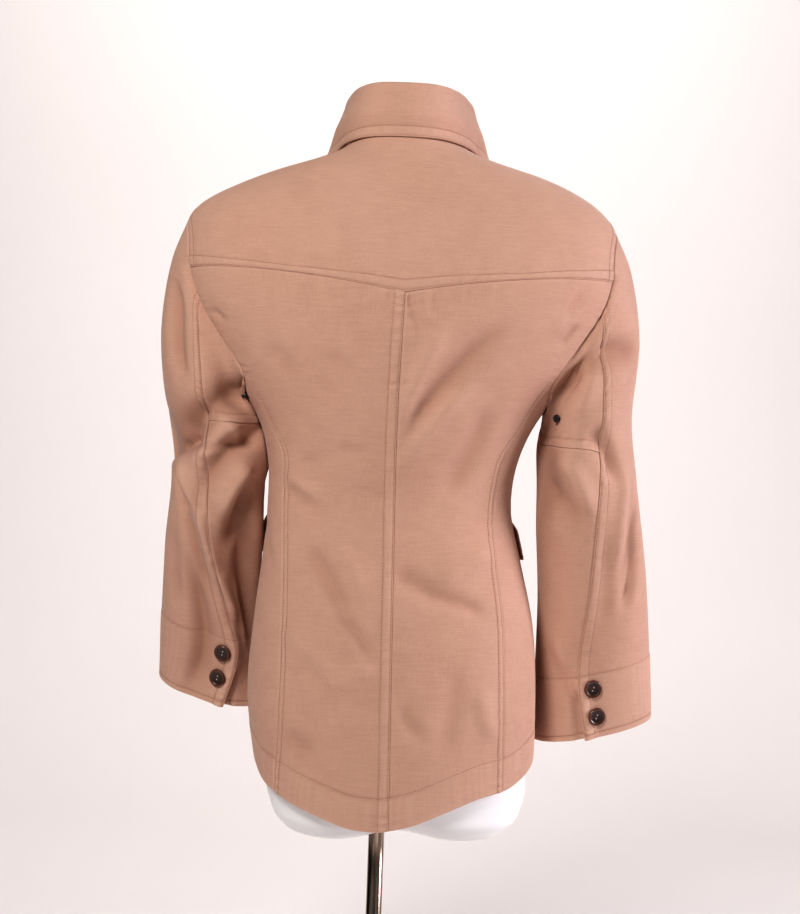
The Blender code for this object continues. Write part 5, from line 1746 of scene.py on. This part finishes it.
def place_button(name, place, way, turn):
    """One horn button with its thread, standing a little off the cloth."""
    stand = lean_to(place, way) @ Matrix.Rotation(math.radians(turn), 4, "Z")
    button = bpy.data.objects.new(f"{name}_horn", button_mesh)
    button.matrix_world = stand
    spots = bpy.data.objects.new(f"{name}_thread", spot_mesh)
    spots.matrix_world = stand
    for piece, slot_name in ((button, "horn"), (spots, "cloth")):
        bpy.context.scene.collection.objects.link(piece)
        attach(piece, "root")
    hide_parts(name)


button_mesh.materials.clear()
button_mesh.materials.append(horn)
spot_mesh.materials.append(spot_thread)
for side in SIDES:
    for number, along in enumerate(CUFF_BUTTON_ALONG[side], start=1):
        way = creased_normal(side, CUFF_BUTTON_STEP, along)
        place = creased_sleeve(side, CUFF_BUTTON_STEP, along) + way * BUTTON_STAND_OFF
        place_button(f"cuff_button_{side}_{number}", place, way, THREAD_TURN["cuff"])
    middle = SIDES[side] * math.radians(sum(POCKET_ANGLES) / 2.0)
    stand_off = LAID_ON + FLAP_RISE + BUTTON_STAND_OFF
    place, way = place_and_way(middle, FLAP_HEIGHTS[0] + FLAP_BUTTON_UP, stand_off)
    place_button(f"flap_button_{side}", place, way, THREAD_TURN["flap"])
for number, height in enumerate(FRONT_BUTTON_HEIGHTS, start=1):
    place, way = place_and_way(math.pi, height, LAP_RISE + BUTTON_STAND_OFF)
    place_button(f"front_button_{number}", place, way, THREAD_TURN["front"])
print("buttons placed")

# %% [markdown]
# A small black metal ring sits in each underarm patch to let air through. It is turned like the buttons,
# with a shank that reaches into the cloth, and it leans to the back, where it shows beside the armhole.

# %% Eyelets
EYELET_STEP, EYELET_ALONG = {"left": 13.5, "right": 11.85}, {"left": 0.065, "right": 0.205}
EYELET_PROFILE = (
    (0.0, -0.0040), (0.0026, -0.0040), (0.0026, 0.0), (0.0040, 0.0), (0.0040, 0.0007),
    (0.0035, 0.0015), (0.0027, 0.0018), (0.0020, 0.0015), (0.0015, 0.0007), (0.0, 0.0004),
)
EYELET_SIDES = 40
EYELET_STAND_OFF, EYELET_LEAN = 0.0036, np.array([0.0, 0.7, 0.0])
for side in SIDES:
    step, along = EYELET_STEP[side], EYELET_ALONG[side]
    way = unit(creased_normal(side, step, along) + EYELET_LEAN)
    ring = turned_mesh("eyelet_ring", EYELET_PROFILE, EYELET_SIDES)
    eyelet = add_piece(f"eyelet_{side}_ring", ring, enamel)
    eyelet.matrix_world = lean_to(creased_sleeve(side, step, along) + way * EYELET_STAND_OFF, way)
    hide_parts(f"eyelet_{side}")
print("eyelets placed")

# %% [markdown]
# The dress form is a smooth moulded torso with no limbs. Only its two lobes show below the hem. It could
# be sculpted or subdivided from a block. Here a ball's rows are drawn through the same sections as its
# solid, so that it stays inside the cloth, and the pole's socket is cut out of it.

# %% Dress form
FORM_COLUMNS = "height left right back front"
FORM_SECTIONS = (
    (0.2845, 0.062, 0.085, 0.050, 0.050),
    (0.2890, 0.082, 0.112, 0.068, 0.068),
    (0.300, 0.099, 0.134, 0.084, 0.084),
    (0.320, 0.110, 0.146, 0.094, 0.094),
    (0.365, 0.116, 0.148, 0.098, 0.097),
    (0.430, 0.123, 0.146, 0.100, 0.094),
    (0.510, 0.119, 0.136, 0.093, 0.088),
    (0.570, 0.113, 0.122, 0.081, 0.080),
    (0.620, 0.110, 0.112, 0.074, 0.076),
    (0.660, 0.111, 0.115, 0.077, 0.086),
    (0.705, 0.121, 0.129, 0.085, 0.103),
    (0.760, 0.140, 0.148, 0.095, 0.106),
    (0.815, 0.156, 0.162, 0.099, 0.091),
    (0.860, 0.164, 0.168, 0.096, 0.077),
    (0.895, 0.160, 0.163, 0.088, 0.063),
    (0.915, 0.142, 0.144, 0.081, 0.053),
    (0.935, 0.106, 0.108, 0.073, 0.044),
    (0.955, 0.074, 0.076, 0.064, 0.038),
    (0.975, 0.056, 0.058, 0.057, 0.034),
    (1.000, 0.047, 0.049, 0.052, 0.032),
    (1.012, 0.038, 0.040, 0.043, 0.026),
)
FORM = table(FORM_COLUMNS, FORM_SECTIONS)
FORM_TOP, FORM_BOTTOM = 1.0150, 0.2828
FORM_SIDES, FORM_ROWS, FORM_ROW_EASE = 96, 140, 0.85
LOBE_CENTRE, LOBE_NOTCH, LOBE_NOTCH_WIDTH, LOBE_REACH = -0.020, 0.014, 0.042, 0.060
POLE_RADIUS, POLE_TOP = 0.008, 0.345
SOCKET_CLEARANCE, SOCKET_FOOT, SOCKET_TOP, SOCKET_SIDES = 0.0003, 0.2, 0.346, 48


def form_mesh():
    """A ball's rows and columns, drawn over the form's level sections."""
    shape = bmesh.new()
    bmesh.ops.create_uvsphere(shape, u_segments=FORM_SIDES, v_segments=FORM_ROWS, radius=1.0)
    ball = np.array([vert.co for vert in shape.verts])
    row = 1.0 - np.arccos(np.clip(ball[:, 2], -1.0, 1.0)) / np.pi
    first, last = 1.0 / FORM_ROWS, 1.0 - 1.0 / FORM_ROWS
    closer = row - FORM_ROW_EASE * np.sin(2.0 * np.pi * (row - first) / (last - first)) / (2.0 * np.pi)
    height = np.interp(closer, (0.0, first, last, 1.0), (FORM_BOTTOM, *FORM["height"][[0, -1]], FORM_TOP))
    points = section_point(FORM, np.arctan2(ball[:, 0], ball[:, 1]), height)
    at_pole = (row < first / 2) | (row > 1.0 - first / 2)
    centre = (points[:, 0].max() + points[:, 0].min()) / 2.0
    points[at_pole, 0] = np.where(row[at_pole] < 0.5, centre, 0.0)
    points[at_pole, 1] = 0.0
    low = 1.0 - smooth_step(FORM_BOTTOM, FORM_BOTTOM + LOBE_REACH, points[:, 2])
    notch = np.exp(-(((points[:, 0] - LOBE_CENTRE) / LOBE_NOTCH_WIDTH) ** 2))
    points[:, 2] += LOBE_NOTCH * low * notch
    for vert, point in zip(shape.verts, points):
        vert.co = point
    bmesh.ops.recalc_face_normals(shape, faces=shape.faces[:])
    mesh = bpy.data.meshes.new("form_body")
    shape.to_mesh(mesh)
    shape.free()
    return mesh


socket_radius = POLE_RADIUS + SOCKET_CLEARANCE
socket_profile = [(0, SOCKET_FOOT), (socket_radius, SOCKET_FOOT)]
socket_profile += [(socket_radius, SOCKET_TOP), (0, SOCKET_TOP)]
socket = turned_mesh("socket", socket_profile, SOCKET_SIDES)
form_shell = cut_mesh("dress_form_shell", form_mesh(), [(socket, (0, 0, 0))])
form = add_piece("dress_form_shell", form_shell, shell)
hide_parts("dress_form")
print("form triangles", sum(len(face.vertices) - 2 for face in form.data.polygons))

# %% [markdown]
# The stand is a slim polished pole on a round base plate. Cylinders with a Bevel modifier would do. Both
# are turned here, as on a lathe, with softened rims that catch a line of light.

# %% Pole and base plate
BASE_RADIUS, BASE_THICKNESS, BASE_ROUND = 0.140, 0.008, 0.002
POLE_FOOT = BASE_THICKNESS + SEAM_GAP
BASE_SIDES, POLE_SIDES, POLE_BEVEL = 128, 64, 0.001
ROUND_STEPS = np.linspace(0.0, math.pi / 2, 6)
rim_start, rim_top = BASE_RADIUS - BASE_ROUND, BASE_THICKNESS - BASE_ROUND
base_profile = [(0.0, 0.0), (rim_start, 0.0)]
for turn in ROUND_STEPS[1:]:
    base_profile.append((rim_start + BASE_ROUND * math.sin(turn), BASE_ROUND - BASE_ROUND * math.cos(turn)))
for turn in ROUND_STEPS:
    base_profile.append((rim_start + BASE_ROUND * math.cos(turn), rim_top + BASE_ROUND * math.sin(turn)))
base_profile.append((0.0, BASE_THICKNESS))
base_mesh = turned_mesh("base_plate_turned", base_profile, BASE_SIDES)
base = add_piece("base_plate_turned", base_mesh, base_steel)
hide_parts("base_plate")
pole_profile = [(0.0, POLE_FOOT), (POLE_RADIUS, POLE_FOOT), (POLE_RADIUS, POLE_TOP - POLE_BEVEL)]
pole_profile += [(POLE_RADIUS - POLE_BEVEL, POLE_TOP), (0.0, POLE_TOP)]
pole = add_piece("pole_turned", turned_mesh("pole_turned", pole_profile, POLE_SIDES), pole_steel)
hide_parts("pole")
print("stand made")

# %% [markdown]
# The room is a plain pale sweep under soft light: a lamp high up near the camera on the left of the
# picture, a larger cool one at the right like a window, a wide one that lights the wall behind and a weak
# pale sky. A picture of a room could light it too, but three lamps can be moved until the folds are
# shaded as in the photograph. The view shows plain colours with a little more contrast.

# %% Floor and light
scene = bpy.context.scene
scene.view_settings.view_transform = "Standard"
scene.view_settings.look = "High Contrast"


def pale_floor():
    made, shader, place = new_material("pale_floor")
    cloud = noise(place, 1.2, detail=2.0)
    feed(shader, Base_Color=cloud.blend(colour(0.80, 0.76, 0.75), colour(0.84, 0.80, 0.79)))
    feed(shader, Roughness=0.85 + 0.1 * cloud)
    return made


SWEEP_HALF_WIDTH, SWEEP_FRONT, SWEEP_BACK, SWEEP_HEIGHT, SWEEP_RADIUS = 6.0, 5.0, -3.0, 5.0, 1.5
SWEEP_TURNS = np.linspace(0.0, math.pi / 2, 24)


def sweep_mesh():
    """A floor that bends up into a wall behind the jacket."""
    bend = [
        (SWEEP_BACK + SWEEP_RADIUS * (1.0 - math.sin(turn)), SWEEP_RADIUS * (1.0 - math.cos(turn)))
        for turn in SWEEP_TURNS
    ]
    line = np.array([(SWEEP_FRONT, 0.0), *bend, (SWEEP_BACK, SWEEP_HEIGHT)])
    columns = np.array([-SWEEP_HALF_WIDTH, SWEEP_HALF_WIDTH])
    points = [(x, y, z) for y, z in line for x in columns]
    mesh = bpy.data.meshes.new("studio_sweep")
    mesh.from_pydata(points, [], grid_faces(len(line), 2)[:, ::-1].tolist())
    mesh.shade_smooth()
    return mesh


floor = bpy.data.objects.new("studio_sweep", sweep_mesh())
floor.data.materials.append(pale_floor())
scene.collection.objects.link(floor)


def soft_lamp(name, place, aim, size, power, tint):
    data = bpy.data.lights.new(name, "AREA")
    data.shape = "DISK"
    data.size = size
    data.energy = power
    data.color = tint
    lamp = bpy.data.objects.new(name, data)
    lamp.matrix_world = lean_to(place, Vector(place) - Vector(aim))
    scene.collection.objects.link(lamp)


JACKET_MIDDLE = (0.0, 0.0, 0.65)
soft_lamp("high_lamp", (0.8, 1.9, 1.95), (0.0, 0.0, 0.75), 0.7, 35.0, (1.0, 0.985, 0.955))
soft_lamp("window_lamp", (-2.2, 0.12, 1.1), JACKET_MIDDLE, 1.0, 34.0, (0.96, 0.935, 1.0))
soft_lamp("wall_lamp", (0.0, -1.2, 2.8), (0.0, -3.0, 1.2), 2.0, 37.0, (1.0, 0.965, 0.945))
world = bpy.data.worlds.new("pale_sky")
world.use_nodes = True
world.node_tree.nodes["Background"].inputs["Color"].default_value = (1.0, 0.975, 0.96, 1.0)
world.node_tree.nodes["Background"].inputs["Strength"].default_value = 0.08
scene.world = world
